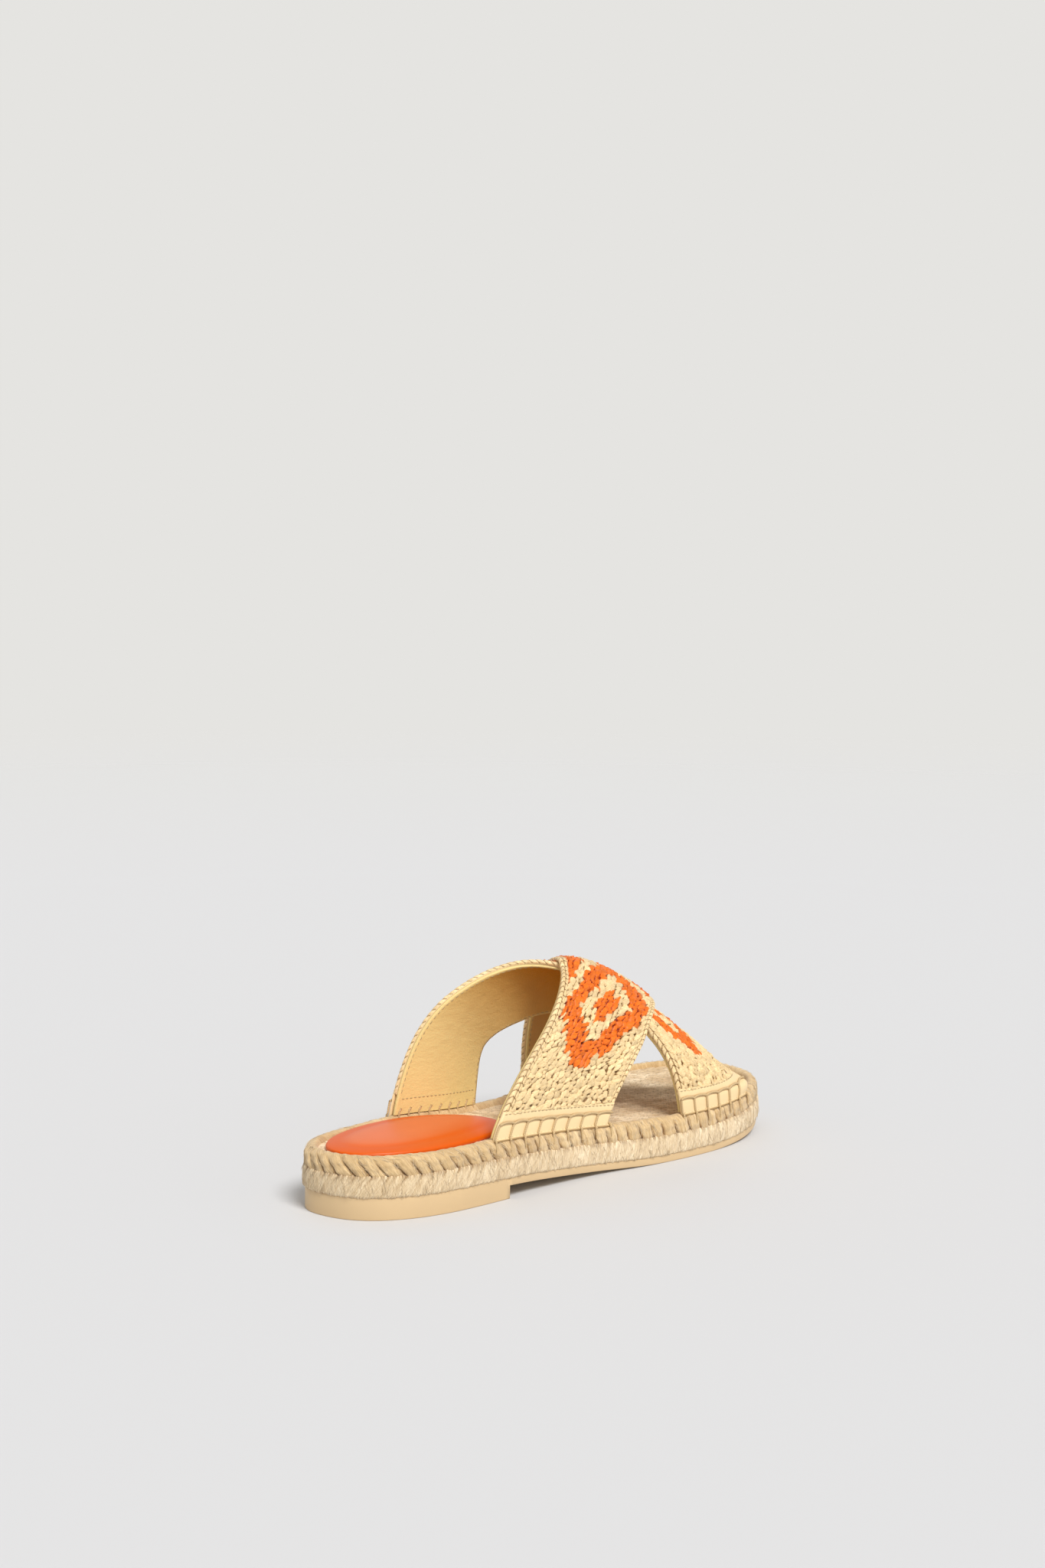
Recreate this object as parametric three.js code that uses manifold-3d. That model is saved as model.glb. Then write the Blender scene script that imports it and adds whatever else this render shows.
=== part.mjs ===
// Crossed-strap slide sandal with a jute sole, for the right foot, a woman's size.
// Millimetres: +X runs from heel to toe, +Y to the big-toe side, +Z up, and the floor is Z = 0.

import * as THREE from 'three';
import { mergeVertices } from 'three/addons/utils/BufferGeometryUtils.js';
import Module from 'manifold-3d';

const wasm = await Module();
wasm.setup();

// Sole
const LENGTH = 250;
const BALL_WIDTH = 90;
const HEEL_LIFT = 5.7;
const TOE_SPRING = 4.5;
const TOE_CURVE = 1.5;
const HEEL_BLOCK_LENGTH = 72;
const RUBBER_THICKNESS = 3.4;
const RUBBER_INSET = 0.8;
const JUTE_ROW_HEIGHT = 8;
const JUTE_ROW_ROUNDING = 0.9;
const FOOTBED_THICKNESS = 5;
const RIM_RISE = 2.5;
const RIM_WIDTH = 5.5;
const WRAP_PITCH = 7;
const WRAP_DEPTH = 0.9;
const WRAP_LEAN = 4;
const GAP = 0.3;

// Heel pad
const PAD_LENGTH = 87;
const PAD_WIDTH = 48;
const PAD_THICKNESS = 3.4;
const PAD_SETBACK = 7.5;
const PAD_SHIFT = -4.8;
const PAD_BEVEL = 4;

// Straps
const STRAP_WALL = 3;
const STRAP_EDGE_WIDTH = 3.4;
const STRAP_EDGE_RAISE = 0.6;
const STRAP_INSET = 3.4;
const STRAP_CROWN = 1.6;
const STRAP_EDGE_STEP = 0.8;
const CROSSING_FADE = 14;
const CROSSING_SINK = 0.4;
const BAND_HEIGHT = 9;
const BAND_THICKNESS = 1.3;
const BAND_RAISE = 0.4;
const BAND_REACH = 1.4;
const BAND_DROP = 0.1;

// Half-widths of the sole as shares of BALL_WIDTH, at equal steps of angle from heel to toe
const OUTLINE = [
  { lateral: 0.200, medial: 0.117 },
  { lateral: 0.333, medial: 0.217 },
  { lateral: 0.411, medial: 0.256 },
  { lateral: 0.431, medial: 0.278 },
  { lateral: 0.426, medial: 0.256 },
  { lateral: 0.433, medial: 0.333 },
  { lateral: 0.483, medial: 0.461 },
  { lateral: 0.500, medial: 0.500 },
  { lateral: 0.467, medial: 0.453 },
  { lateral: 0.367, medial: 0.344 },
  { lateral: 0.217, medial: 0.183 },
];
const HEEL_TIP = -0.012;
const TOE_TIP = 0.017;

// Where along LENGTH the raised arch comes down, rests on the floor and turns up again
const ARCH_START = 0.22;
const TREAD_START = 0.66;
const TREAD_END = 0.76;

// Height of the last above the footbed at each fifth of LENGTH, as a share of LENGTH
const INSTEP = [0.342, 0.306, 0.267, 0.228, 0.126, 0];
const LAST_SIDE_POWER = 0.927;
const LAST_TOP_POWER = 0.813;

// Edges of each strap from the lateral side over the foot to the medial side: places along LENGTH,
// and how far each edge lies off the last as shares of LENGTH
const UNDER_STRAP = [
  { rear: 0.684, rearLift: 0, front: 0.868, frontLift: 0 },
  { rear: 0.648, rearLift: -0.012, front: 0.868, frontLift: -0.048 },
  { rear: 0.559, rearLift: 0.002, front: 0.796, frontLift: -0.020 },
  { rear: 0.448, rearLift: 0.001, front: 0.657, frontLift: -0.050 },
  { rear: 0.322, rearLift: -0.007, front: 0.470, frontLift: -0.066 },
  { rear: 0.244, rearLift: 0, front: 0.432, frontLift: 0 },
];
const OVER_STRAP = [
  { rear: 0.257, rearLift: 0, front: 0.517, frontLift: 0 },
  { rear: 0.405, rearLift: 0.004, front: 0.629, frontLift: 0.001 },
  { rear: 0.495, rearLift: 0.002, front: 0.723, frontLift: 0 },
  { rear: 0.555, rearLift: -0.002, front: 0.774, frontLift: 0.020 },
  { rear: 0.595, rearLift: -0.001, front: 0.809, frontLift: 0.003 },
  { rear: 0.617, rearLift: 0, front: 0.825, frontLift: 0 },
];

// Lower jute row: shares of its height, and of JUTE_ROW_ROUNDING
const ROW_PROFILE = [
  { rise: 0, inset: 1 },
  { rise: 0.2, inset: 0.25 },
  { rise: 0.5, inset: 0 },
  { rise: 0.8, inset: 0.25 },
  { rise: 1, inset: 1 },
];

// Outside of the braid from its foot to the crest: shares of its height, of RIM_WIDTH and WRAP_DEPTH
const BRAID_PROFILE = [
  { rise: 0, inset: 0.24, wrap: 0 },
  { rise: 0.12, inset: 0.16, wrap: 1 },
  { rise: 0.62, inset: 0.16, wrap: 1 },
  { rise: 0.9, inset: 0.34, wrap: 0.8 },
  { rise: 1, inset: 0.66, wrap: 0 },
];

// Heel pad from its base to its raised middle: shares of PAD_THICKNESS and of PAD_BEVEL
const PAD_PROFILE = [
  { rise: 0, inset: 0.12 },
  { rise: 0.35, inset: 0 },
  { rise: 0.85, inset: 1 },
  { rise: 1, inset: 2 },
];

// Samples
const RING_SAMPLES = 96;
const PAD_SAMPLES = 48;
const WRAP_SAMPLES = 4;
const ARC_STEPS = 2400;
const STRAP_ROWS = 32;
const STRAP_COLUMNS = 5;
const ANGLE_STEP = 0.002;
const SHARE_STEP = 0.01;
const FOOT_TURN = 0.3;
const HALVINGS = 24;

const HALF = LENGTH / 2;
const RUBBER_TOP = RUBBER_THICKNESS;
const ROW_BOTTOM = RUBBER_TOP + GAP;
const ROW_TOP = ROW_BOTTOM + JUTE_ROW_HEIGHT;
const FOOTBED_BOTTOM = ROW_TOP + GAP;
const FOOTBED_TOP = FOOTBED_BOTTOM + FOOTBED_THICKNESS;
const RIM_TOP = FOOTBED_TOP + RIM_RISE;
const STRAP_FOOT = RIM_TOP + GAP;
const BRAID_HEIGHT = RIM_TOP - FOOTBED_BOTTOM;
const BAND_FACE = STRAP_WALL / 2 + BAND_RAISE;
const BAND_BACK = BAND_FACE - BAND_THICKNESS;

function smoothstep(from, to, value) {
  return THREE.MathUtils.smoothstep(value, from, to);
}

// Underside of the sole along its length: raised at the heel and arch, flat at the ball, up at the toe
function soleHeight(x) {
  const share = x / LENGTH + 0.5;
  const heel = HEEL_LIFT * (1 - smoothstep(ARCH_START, TREAD_START, share));
  const toe = Math.max(0, (share - TREAD_END) / (1 - TREAD_END));
  return heel + TOE_SPRING * toe ** TOE_CURVE;
}

// Smooth curve of y over equal steps of angle, once round the sole from the heel by the lateral side
const sideValues = [
  HEEL_TIP,
  ...OUTLINE.map((row) => -row.lateral),
  TOE_TIP,
  ...OUTLINE.map((row) => row.medial).reverse(),
];
const sideCurve = new THREE.SplineCurve(
  [sideValues.at(-1), ...sideValues, sideValues[0], sideValues[1]]
    .map((value, index) => new THREE.Vector2(index - 1, value * BALL_WIDTH)),
);

function outlinePoint(angle) {
  const turns = THREE.MathUtils.euclideanModulo(angle / (2 * Math.PI), 1);
  const place = (turns * sideValues.length + 1) / (sideValues.length + 2);
  return new THREE.Vector2(-HALF * Math.cos(angle), sideCurve.getPoint(place).y);
}

function insetPoint(angle, inset) {
  const along = outlinePoint(angle + ANGLE_STEP).sub(outlinePoint(angle - ANGLE_STEP)).normalize();
  return outlinePoint(angle).add(new THREE.Vector2(-along.y, along.x).multiplyScalar(inset));
}

// Angle and half-width of the sole at x, on the lateral side (-1) or the medial side (1)
function angleAt(x, side) {
  const angle = Math.acos(THREE.MathUtils.clamp(-x / HALF, -1, 1));
  return side < 0 ? angle : -angle;
}

function halfWidth(x, side) {
  return outlinePoint(angleAt(x, side)).y * side;
}

function onSole(point, height) {
  return new THREE.Vector3(point.x, point.y, soleHeight(point.x) + height);
}

function evenAngles(count) {
  return Array.from({ length: count }, (_, index) => (2 * Math.PI * index) / count);
}

// Length of the outline from the heel to each of many even angles
const arcLengths = [0];
evenAngles(ARC_STEPS).forEach((angle, index) => {
  const next = outlinePoint((2 * Math.PI * (index + 1)) / ARC_STEPS);
  arcLengths.push(arcLengths[index] + next.distanceTo(outlinePoint(angle)));
});

function angleAtLength(length) {
  const target = THREE.MathUtils.euclideanModulo(length, arcLengths.at(-1));
  const at = arcLengths.findIndex((value) => value > target) - 1;
  const part = (target - arcLengths[at]) / (arcLengths[at + 1] - arcLengths[at]);
  return (2 * Math.PI * (at + part)) / ARC_STEPS;
}

// A closed mesh from rows of points: faces are turned outwards and repeated corners dropped
function closedGeometry(points, triangles) {
  const kept = triangles.filter(([a, b, c]) => a !== b && b !== c && c !== a);
  const cross = new THREE.Vector3();
  const volume = kept.reduce(
    (sum, [a, b, c]) => sum + points[a].dot(cross.crossVectors(points[b], points[c])),
    0,
  );
  const turned = volume < 0 ? kept.map(([a, b, c]) => [a, c, b]) : kept;
  const geometry = new THREE.BufferGeometry().setFromPoints(points);
  geometry.setIndex(turned.flat());
  return geometry;
}

function quad(a, b, c, d) {
  return [[a, b, c], [a, c, d]];
}

function bandBetween(lower, upper, count) {
  const faces = [];
  for (let i = 0; i < count; i += 1) {
    const next = (i + 1) % count;
    faces.push(...quad(lower + i, lower + next, upper + next, upper + i));
  }
  return faces;
}

// Rings stacked from bottom to top and closed by strips across the width
function stackedRings(rings) {
  const count = rings[0].length;
  const top = (rings.length - 1) * count;
  const faces = [];
  for (let k = 0; k < rings.length - 1; k += 1) {
    faces.push(...bandBetween(k * count, (k + 1) * count, count));
  }
  for (let i = 0; i < count / 2; i += 1) {
    const far = (count - i) % count;
    const farNext = count - i - 1;
    faces.push(...quad(i, far, farNext, i + 1));
    faces.push(...quad(top + i, top + i + 1, top + farNext, top + far));
  }
  return closedGeometry(rings.flat(), faces);
}

// Rings that close on themselves round a wall
function wallRings(rings) {
  const count = rings[0].length;
  const faces = [];
  for (let k = 0; k < rings.length; k += 1) {
    faces.push(...bandBetween(k * count, ((k + 1) % rings.length) * count, count));
  }
  return closedGeometry(rings.flat(), faces);
}

// A shell between two grids of points of the same size
function shell(outer, inner) {
  const rows = outer.length;
  const columns = outer[0].length;
  const back = rows * columns;
  const faces = [];
  for (let r = 0; r < rows - 1; r += 1) {
    for (let c = 0; c < columns - 1; c += 1) {
      const a = r * columns + c;
      faces.push(...quad(a, a + 1, a + columns + 1, a + columns));
      faces.push(...quad(back + a, back + a + columns, back + a + columns + 1, back + a + 1));
    }
  }
  for (let r = 0; r < rows - 1; r += 1) {
    const a = r * columns;
    const b = a + columns - 1;
    faces.push(...quad(a, a + columns, back + a + columns, back + a));
    faces.push(...quad(b, back + b, back + b + columns, b + columns));
  }
  for (let c = 0; c < columns - 1; c += 1) {
    const b = (rows - 1) * columns + c;
    faces.push(...quad(c, back + c, back + c + 1, c + 1));
    faces.push(...quad(b, b + 1, back + b + 1, back + b));
  }
  return closedGeometry([...outer.flat(), ...inner.flat()], faces);
}

function soleRing(angles, inset, height) {
  return angles.map((angle) => onSole(insetPoint(angle, inset), height));
}

function toManifold(geometry) {
  return new wasm.Manifold(new wasm.Mesh({
    numProp: 3,
    vertProperties: new Float32Array(geometry.getAttribute('position').array),
    triVerts: new Uint32Array(geometry.getIndex().array),
  }));
}

function fromManifold(solid) {
  const mesh = solid.getMesh();
  const geometry = new THREE.BufferGeometry();
  geometry.setAttribute('position', new THREE.BufferAttribute(mesh.vertProperties, mesh.numProp));
  geometry.setIndex(new THREE.BufferAttribute(mesh.triVerts, 1));
  return geometry;
}

// A box with shared corners, centred at x on the floor
function boxAt(x, length, width, height) {
  const box = new THREE.BoxGeometry(length, width, height);
  box.deleteAttribute('normal');
  box.deleteAttribute('uv');
  return mergeVertices(box.translate(x, 0, 0));
}

// Rubber outsole, moulded with its low heel block
function outsoleGeometry() {
  const angles = evenAngles(RING_SAMPLES);
  const sheet = toManifold(stackedRings([
    soleRing(angles, RUBBER_INSET, 0),
    soleRing(angles, RUBBER_INSET, RUBBER_TOP),
  ]));
  const blockRing = (height) => angles.map((angle) => {
    const point = insetPoint(angle, RUBBER_INSET);
    return new THREE.Vector3(point.x, point.y, height(point.x));
  });
  const column = toManifold(stackedRings([
    blockRing(() => 0),
    blockRing((x) => soleHeight(x) + RUBBER_TOP / 2),
  ]));
  const cutter = toManifold(boxAt(-HALF, 2 * HEEL_BLOCK_LENGTH, 2 * BALL_WIDTH, LENGTH));
  return fromManifold(sheet.add(column.intersect(cutter)));
}

// Lower row of jute, a rounded rope laid round the full sole
function juteRowGeometry() {
  const angles = evenAngles(RING_SAMPLES);
  return stackedRings(ROW_PROFILE.map(({ rise, inset }) => (
    soleRing(angles, inset * JUTE_ROW_ROUNDING, ROW_BOTTOM + rise * JUTE_ROW_HEIGHT)
  )));
}

// Upper row: the jute braid round the footbed, its leaning wraps raised along the outside
function braidGeometry() {
  const total = arcLengths.at(-1);
  const count = Math.round(total / WRAP_PITCH) * WRAP_SAMPLES;
  const indices = Array.from({ length: count }, (_, index) => index);
  const rings = BRAID_PROFILE.map(({ rise, inset, wrap }) => indices.map((index) => {
    const angle = angleAtLength((total * index) / count + WRAP_LEAN * (1 - rise));
    const swell = wrap * WRAP_DEPTH * Math.sin((Math.PI * (index % WRAP_SAMPLES)) / WRAP_SAMPLES);
    return onSole(insetPoint(angle, inset * RIM_WIDTH - swell), FOOTBED_BOTTOM + rise * BRAID_HEIGHT);
  }));
  const angles = indices.map((index) => angleAtLength((total * index) / count));
  const innerRings = [FOOTBED_TOP, FOOTBED_BOTTOM].map((height) => soleRing(angles, RIM_WIDTH, height));
  return wallRings([...rings, ...innerRings]);
}

// How far inside the outline the braid's wraps lie at a depth below its crest
function braidInset(depth) {
  const rise = 1 - depth / BRAID_HEIGHT;
  const upper = BRAID_PROFILE.findIndex((row) => row.rise >= rise);
  const [a, b] = [BRAID_PROFILE[upper - 1], BRAID_PROFILE[upper]];
  const at = (row) => row.inset * RIM_WIDTH - row.wrap * WRAP_DEPTH;
  return THREE.MathUtils.mapLinear(rise, a.rise, b.rise, at(a), at(b));
}

function footbedGeometry() {
  const angles = evenAngles(RING_SAMPLES);
  return stackedRings([
    soleRing(angles, RIM_WIDTH + GAP, FOOTBED_BOTTOM),
    soleRing(angles, RIM_WIDTH + GAP, FOOTBED_TOP),
  ]);
}

// Oval leather heel pad with a bevelled edge
function padGeometry() {
  const middle = -HALF + PAD_SETBACK + PAD_LENGTH / 2;
  const ring = (inset, height) => evenAngles(PAD_SAMPLES).map((angle) => {
    const x = middle - (PAD_LENGTH / 2 - inset) * Math.cos(angle);
    const y = PAD_SHIFT - (PAD_WIDTH / 2 - inset) * Math.sin(angle);
    return onSole(new THREE.Vector2(x, y), FOOTBED_TOP + GAP + height);
  });
  return stackedRings(PAD_PROFILE.map(({ rise, inset }) => (
    ring(inset * PAD_BEVEL, rise * PAD_THICKNESS)
  )));
}

// A smooth curve through table rows of shares of LENGTH, run on past both ends so that they stay free
function tableCurve(values) {
  const points = values.map(([x, y]) => new THREE.Vector2(x * LENGTH, y * LENGTH));
  const runOn = (end, next) => end.clone().multiplyScalar(2).sub(next);
  const first = runOn(points[0], points[1]);
  const last = runOn(points.at(-1), points.at(-2));
  const curve = new THREE.SplineCurve([first, ...points, last]);
  const spans = points.length + 1;
  return (share) => curve.getPoint((1 + share * (points.length - 1)) / spans);
}
const instepAt = tableCurve(INSTEP.map((height, index) => [index / (INSTEP.length - 1), height]));

function strapEdges(table) {
  return {
    rear: tableCurve(table.map((row) => [row.rear, row.rearLift])),
    front: tableCurve(table.map((row) => [row.front, row.frontLift])),
  };
}

// A point of the last: turn runs from 0 on the lateral side to 1 on the medial side
function lastPoint(x, turn, lift) {
  const lateral = halfWidth(x, -1) - STRAP_INSET;
  const medial = halfWidth(x, 1) - STRAP_INSET;
  const rise = instepAt(THREE.MathUtils.clamp(x / LENGTH + 0.5, 0, 1)).y + lift;
  const across = Math.cos(Math.PI * turn);
  const up = Math.max(0, Math.sin(Math.PI * turn));
  const y = (medial - lateral) / 2
    - ((medial + lateral) / 2) * Math.sign(across) * Math.abs(across) ** LAST_SIDE_POWER;
  return new THREE.Vector3(x, y, soleHeight(x) + STRAP_FOOT + rise * up ** LAST_TOP_POWER);
}

// How far the upper strap rises where it lies on the lower one, easing off beyond the lower one's edges
function crossingLift(x, turn) {
  const inside = Math.min(x - under.edges.rear(turn).x, under.edges.front(turn).x - x);
  return (STRAP_WALL - CROSSING_SINK) * smoothstep(-CROSSING_FADE, 0, inside);
}

function strapMiddle(strap, turn, width) {
  const rear = strap.edges.rear(turn);
  const front = strap.edges.front(turn);
  const at = rear.lerp(front, width);
  const crown = STRAP_CROWN * 4 * width * (1 - width) * Math.sin(Math.PI * turn);
  const raised = strap.over ? crossingLift(at.x, turn) : 0;
  return lastPoint(at.x - HALF, turn, at.y + crown + raised);
}

function strapNormal(strap, turn, width) {
  const t0 = Math.max(0, turn - SHARE_STEP);
  const t1 = Math.min(1, turn + SHARE_STEP);
  const w0 = Math.max(0, width - SHARE_STEP);
  const w1 = Math.min(1, width + SHARE_STEP);
  const along = strapMiddle(strap, t1, width).sub(strapMiddle(strap, t0, width));
  const across = strapMiddle(strap, turn, w1).sub(strapMiddle(strap, turn, w0));
  return across.cross(along).normalize();
}

function strapPoint(strap, turn, width, offset) {
  return strapMiddle(strap, turn, width)
    .addScaledVector(strapNormal(strap, turn, width), offset);
}

// The turn at which the strap has climbed to a height over its foot
function turnAtHeight(strap, end, width, height) {
  let low = 0;
  let high = FOOT_TURN;
  for (let i = 0; i < HALVINGS; i += 1) {
    const middle = (low + high) / 2;
    const turn = end === 0 ? middle : 1 - middle;
    const point = strapMiddle(strap, turn, width);
    if (point.z - soleHeight(point.x) - STRAP_FOOT < height) low = middle;
    else high = middle;
  }
  return end === 0 ? low : 1 - low;
}

// Columns across a strap at a turn: the raised edges, and the field between them
function strapColumns(strap, turn) {
  const width = strap.edges.front(turn).x - strap.edges.rear(turn).x;
  const edge = STRAP_EDGE_WIDTH / width;
  const start = edge + STRAP_EDGE_STEP / width;
  const field = Array.from({ length: STRAP_COLUMNS }, (_, index) => ({
    share: THREE.MathUtils.lerp(start, 1 - start, index / (STRAP_COLUMNS - 1)),
    raise: 0,
  }));
  const raise = STRAP_EDGE_RAISE;
  return [
    { share: 0, raise },
    { share: edge, raise },
    ...field,
    { share: 1 - edge, raise },
    { share: 1, raise },
  ];
}

// One strap: full wall between its two leather bands, thinner under them
function strapGeometry(strap) {
  const thin = () => BAND_BACK - GAP;
  const full = (column) => STRAP_WALL / 2 + column.raise;
  const inside = () => -STRAP_WALL / 2;
  const between = (part) => (share) => THREE.MathUtils.lerp(
    turnAtHeight(strap, 0, share, BAND_HEIGHT),
    turnAtHeight(strap, 1, share, BAND_HEIGHT),
    part,
  );
  const rows = [
    { part: 0, turnOf: () => 0, outside: thin },
    { part: 0, turnOf: between(0), outside: thin },
    ...Array.from({ length: STRAP_ROWS + 2 }, (_, index) => {
      const part = index / (STRAP_ROWS + 1);
      return { part, turnOf: between(part), outside: full };
    }),
    { part: 1, turnOf: between(1), outside: thin },
    { part: 1, turnOf: () => 1, outside: thin },
  ];
  const grid = (offsetOf) => rows.map((row) => strapColumns(strap, row.part).map((column) => (
    strapPoint(strap, row.turnOf(column.share), column.share, offsetOf(row)(column))
  )));
  return shell(grid((row) => row.outside), grid(() => inside));
}

// Leather band round a strap's foot, from its top line over the rim to the shoulder of the braid
function bandGeometry(strap, end) {
  const side = end === 0 ? -1 : 1;
  const shares = strapColumns(strap, end).map((column) => column.share);
  const edgeInset = braidInset(BAND_REACH) - GAP;
  const climb = [0, 0.5, 1];
  const surface = (offset) => {
    const low = edgeInset + BAND_BACK - offset;
    const lowered = [
      { inset: low, height: RIM_TOP - BAND_REACH },
      { inset: (low + STRAP_INSET - offset) / 2, height: RIM_TOP - BAND_DROP },
    ];
    const lowRows = lowered.map(({ inset, height }) => shares.map((share) => (
      onSole(insetPoint(angleAt(strapMiddle(strap, end, share).x, side), inset), height)
    )));
    const highRows = climb.map((part) => shares.map((share) => (
      strapPoint(strap, turnAtHeight(strap, end, share, (BAND_HEIGHT - GAP) * part), share, offset)
    )));
    return [...lowRows, ...highRows];
  };
  return shell(surface(BAND_FACE), surface(BAND_BACK));
}

const under = { over: false, edges: strapEdges(UNDER_STRAP) };
const over = { over: true, edges: strapEdges(OVER_STRAP) };

function upperGeometry() {
  return fromManifold(toManifold(strapGeometry(under)).add(toManifold(strapGeometry(over))));
}

function mesh(name, geometry, color, roughness) {
  const material = new THREE.MeshStandardMaterial({ color, roughness, metalness: 0 });
  const result = new THREE.Mesh(geometry, material);
  result.name = name;
  return result;
}

const sole = new THREE.Group();
sole.add(
  mesh('outsole', outsoleGeometry(), 0xd8b98c, 0.6),
  mesh('jute_row', juteRowGeometry(), 0xe2c9a0, 0.95),
  mesh('jute_braid', braidGeometry(), 0xcdb488, 0.95),
  mesh('footbed', footbedGeometry(), 0xcbb189, 0.95),
  mesh('heel_pad', padGeometry(), 0xf05a1e, 0.35),
);

const straps = new THREE.Group();
straps.add(
  mesh('upper', upperGeometry(), 0xe6c88e, 0.7),
  mesh('band_heel_lateral', bandGeometry(over, 0), 0xe3bf80, 0.55),
  mesh('band_heel_medial', bandGeometry(under, 1), 0xe3bf80, 0.55),
  mesh('band_toe_lateral', bandGeometry(under, 0), 0xe3bf80, 0.55),
  mesh('band_toe_medial', bandGeometry(over, 1), 0xe3bf80, 0.55),
);

const sandal = new THREE.Group();
sandal.add(sole, straps);

// The middle of the whole sandal's box stands over the origin
const box = new THREE.Box3().setFromObject(sandal);
sandal.position.set(-(box.min.x + box.max.x) / 2, -(box.min.y + box.max.y) / 2, 0);

export default sandal;
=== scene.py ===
"""Crossed-strap slide sandal with a jute sole, right foot: the finish of every piece over its solids.

Shape functions work in millimetres in the sole's own frame, +X from heel to toe, +Y to the big-toe
side and +Z up. new_piece moves them over the origin and turns them into metres.
"""

import bpy
import numpy as np
from mathutils import Matrix, Vector


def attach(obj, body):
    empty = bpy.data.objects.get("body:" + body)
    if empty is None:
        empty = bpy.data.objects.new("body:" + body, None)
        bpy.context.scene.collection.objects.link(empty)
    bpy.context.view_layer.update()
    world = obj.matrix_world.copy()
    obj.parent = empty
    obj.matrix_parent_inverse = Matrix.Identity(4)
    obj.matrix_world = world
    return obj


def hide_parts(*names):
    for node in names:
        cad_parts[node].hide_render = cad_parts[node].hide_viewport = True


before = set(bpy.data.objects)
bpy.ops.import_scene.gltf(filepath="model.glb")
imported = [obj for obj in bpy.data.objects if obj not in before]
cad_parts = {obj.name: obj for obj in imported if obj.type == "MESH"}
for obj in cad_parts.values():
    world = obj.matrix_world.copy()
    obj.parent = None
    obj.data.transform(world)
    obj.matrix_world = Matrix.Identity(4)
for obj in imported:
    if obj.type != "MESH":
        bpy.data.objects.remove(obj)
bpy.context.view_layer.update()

bl_info = {
    "name": "Jute Slide Sandal",
    "version": (1, 0, 0),
    "blender": (4, 5, 0),
    "location": "View3D > Sidebar > Sandal",
    "description": "Builds a crossed-strap slide sandal with a braided jute sole",
    "category": "Add Mesh",
}

# Tone of the thread; the brown of the jute's flecks and knots and the painted shade in the gaps: shares of
# the leather's and jute's colours, and the raffia's own
THREAD_SHADE = 0.62
JUTE_FLECK_AND_PAINTED_SHADE = (0.34, 0.24, 0.14)
STRAW_PAINTED_SHADE = (0.20, 0.10, 0.025)
ORANGE_PAINTED_SHADE = (0.22, 0.012, 0.001)

# What is left of each channel of a leather where it is darkened: painted shade on the lining and the
# cushion, and a darker lower edge on the band
LINING_PAINTED_SHADE = (0.62, 0.32, 0.0)
BAND_LOWER_EDGE_DARKENING = (0.42, 0.32, 0.2)
CUSHION_PAINTED_SHADE = (0.93, 0.62, 0.0)

MM = 0.001
TAU = 2 * np.pi
ORIGIN_SHIFT = np.array([0.010, 0.086, 0.0])

# Sole, as in the solids
LENGTH = 250
HALF = LENGTH / 2
BALL_WIDTH = 90
HEEL_LIFT = 5.7
TOE_SPRING = 4.5
TOE_CURVE = 1.5
HEEL_BLOCK_LENGTH = 72
RUBBER_THICKNESS = 3.4
RUBBER_INSET = 0.8
RUBBER_EDGE = 0.45
JUTE_ROW_HEIGHT = 8
FOOTBED_THICKNESS = 5
RIM_RISE = 2.5
RIM_WIDTH = 5.5
GAP = 0.3
ROW_BOTTOM = RUBBER_THICKNESS
ROW_TOP = RUBBER_THICKNESS + GAP + JUTE_ROW_HEIGHT
FOOTBED_BOTTOM = ROW_TOP + GAP
FOOTBED_TOP = FOOTBED_BOTTOM + FOOTBED_THICKNESS
RIM_TOP = FOOTBED_TOP + RIM_RISE
BRAID_HEIGHT = RIM_TOP - FOOTBED_BOTTOM
ARCH_START = 0.22
TREAD_START = 0.66
TREAD_END = 0.76

# Half-widths as shares of BALL_WIDTH at equal steps of angle from heel to toe
LATERAL = np.array([0.200, 0.333, 0.411, 0.431, 0.426, 0.433, 0.483, 0.500, 0.467, 0.367, 0.217])
MEDIAL = np.array([0.117, 0.217, 0.256, 0.278, 0.256, 0.333, 0.461, 0.500, 0.453, 0.344, 0.183])
HEEL_TIP = -0.012
TOE_TIP = 0.017
ROUND_VALUES = np.concatenate([[HEEL_TIP], -LATERAL, [TOE_TIP], MEDIAL[::-1]])

# Last and straps
STRAP_WALL = 3
STRAP_INSET = 3.4
STRAP_CROWN = 1.6
STRAP_FOOT = RIM_TOP + GAP
STRAP_WIDTH = 56
CROSSING_FADE = 14
CROSSING_LIFT = 2.9
INSTEP = np.array([0.342, 0.306, 0.267, 0.228, 0.126, 0]) * LENGTH
LAST_SIDE_POWER = 0.927
LAST_TOP_POWER = 0.813
BAND_HEIGHT = 9
BAND_REACH = 0.7
BAND_LOW_INSET = 2.6
BAND_FACE = 1.9
BAND_TILT = 1.8
BAND_ROWS = 33
BAND_COLUMNS = 97

# Strap edges from the lateral to the medial foot: place along LENGTH, and lift off the last
UNDER_REAR = [(0.684, 0), (0.648, -0.012), (0.559, 0.002), (0.448, 0.001), (0.322, -0.007), (0.244, 0)]
UNDER_FRONT = [(0.868, 0), (0.868, -0.048), (0.796, -0.020), (0.657, -0.050), (0.470, -0.066), (0.432, 0)]
OVER_REAR = [(0.257, 0), (0.405, 0.004), (0.495, 0.002), (0.555, -0.002), (0.595, -0.001), (0.617, 0)]
OVER_FRONT = [(0.517, 0), (0.629, 0.001), (0.723, 0), (0.774, 0.020), (0.809, 0.003), (0.825, 0)]

EDGE_CHAIN_RADIUS = 1.0
EDGE_CHAIN_INSET = 0.012
EDGE_CHAIN_OFFSET = 0.75
EDGE_CHAIN_PITCH = 3.0
CHAIN_SLIT_PITCH = 3.3

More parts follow.
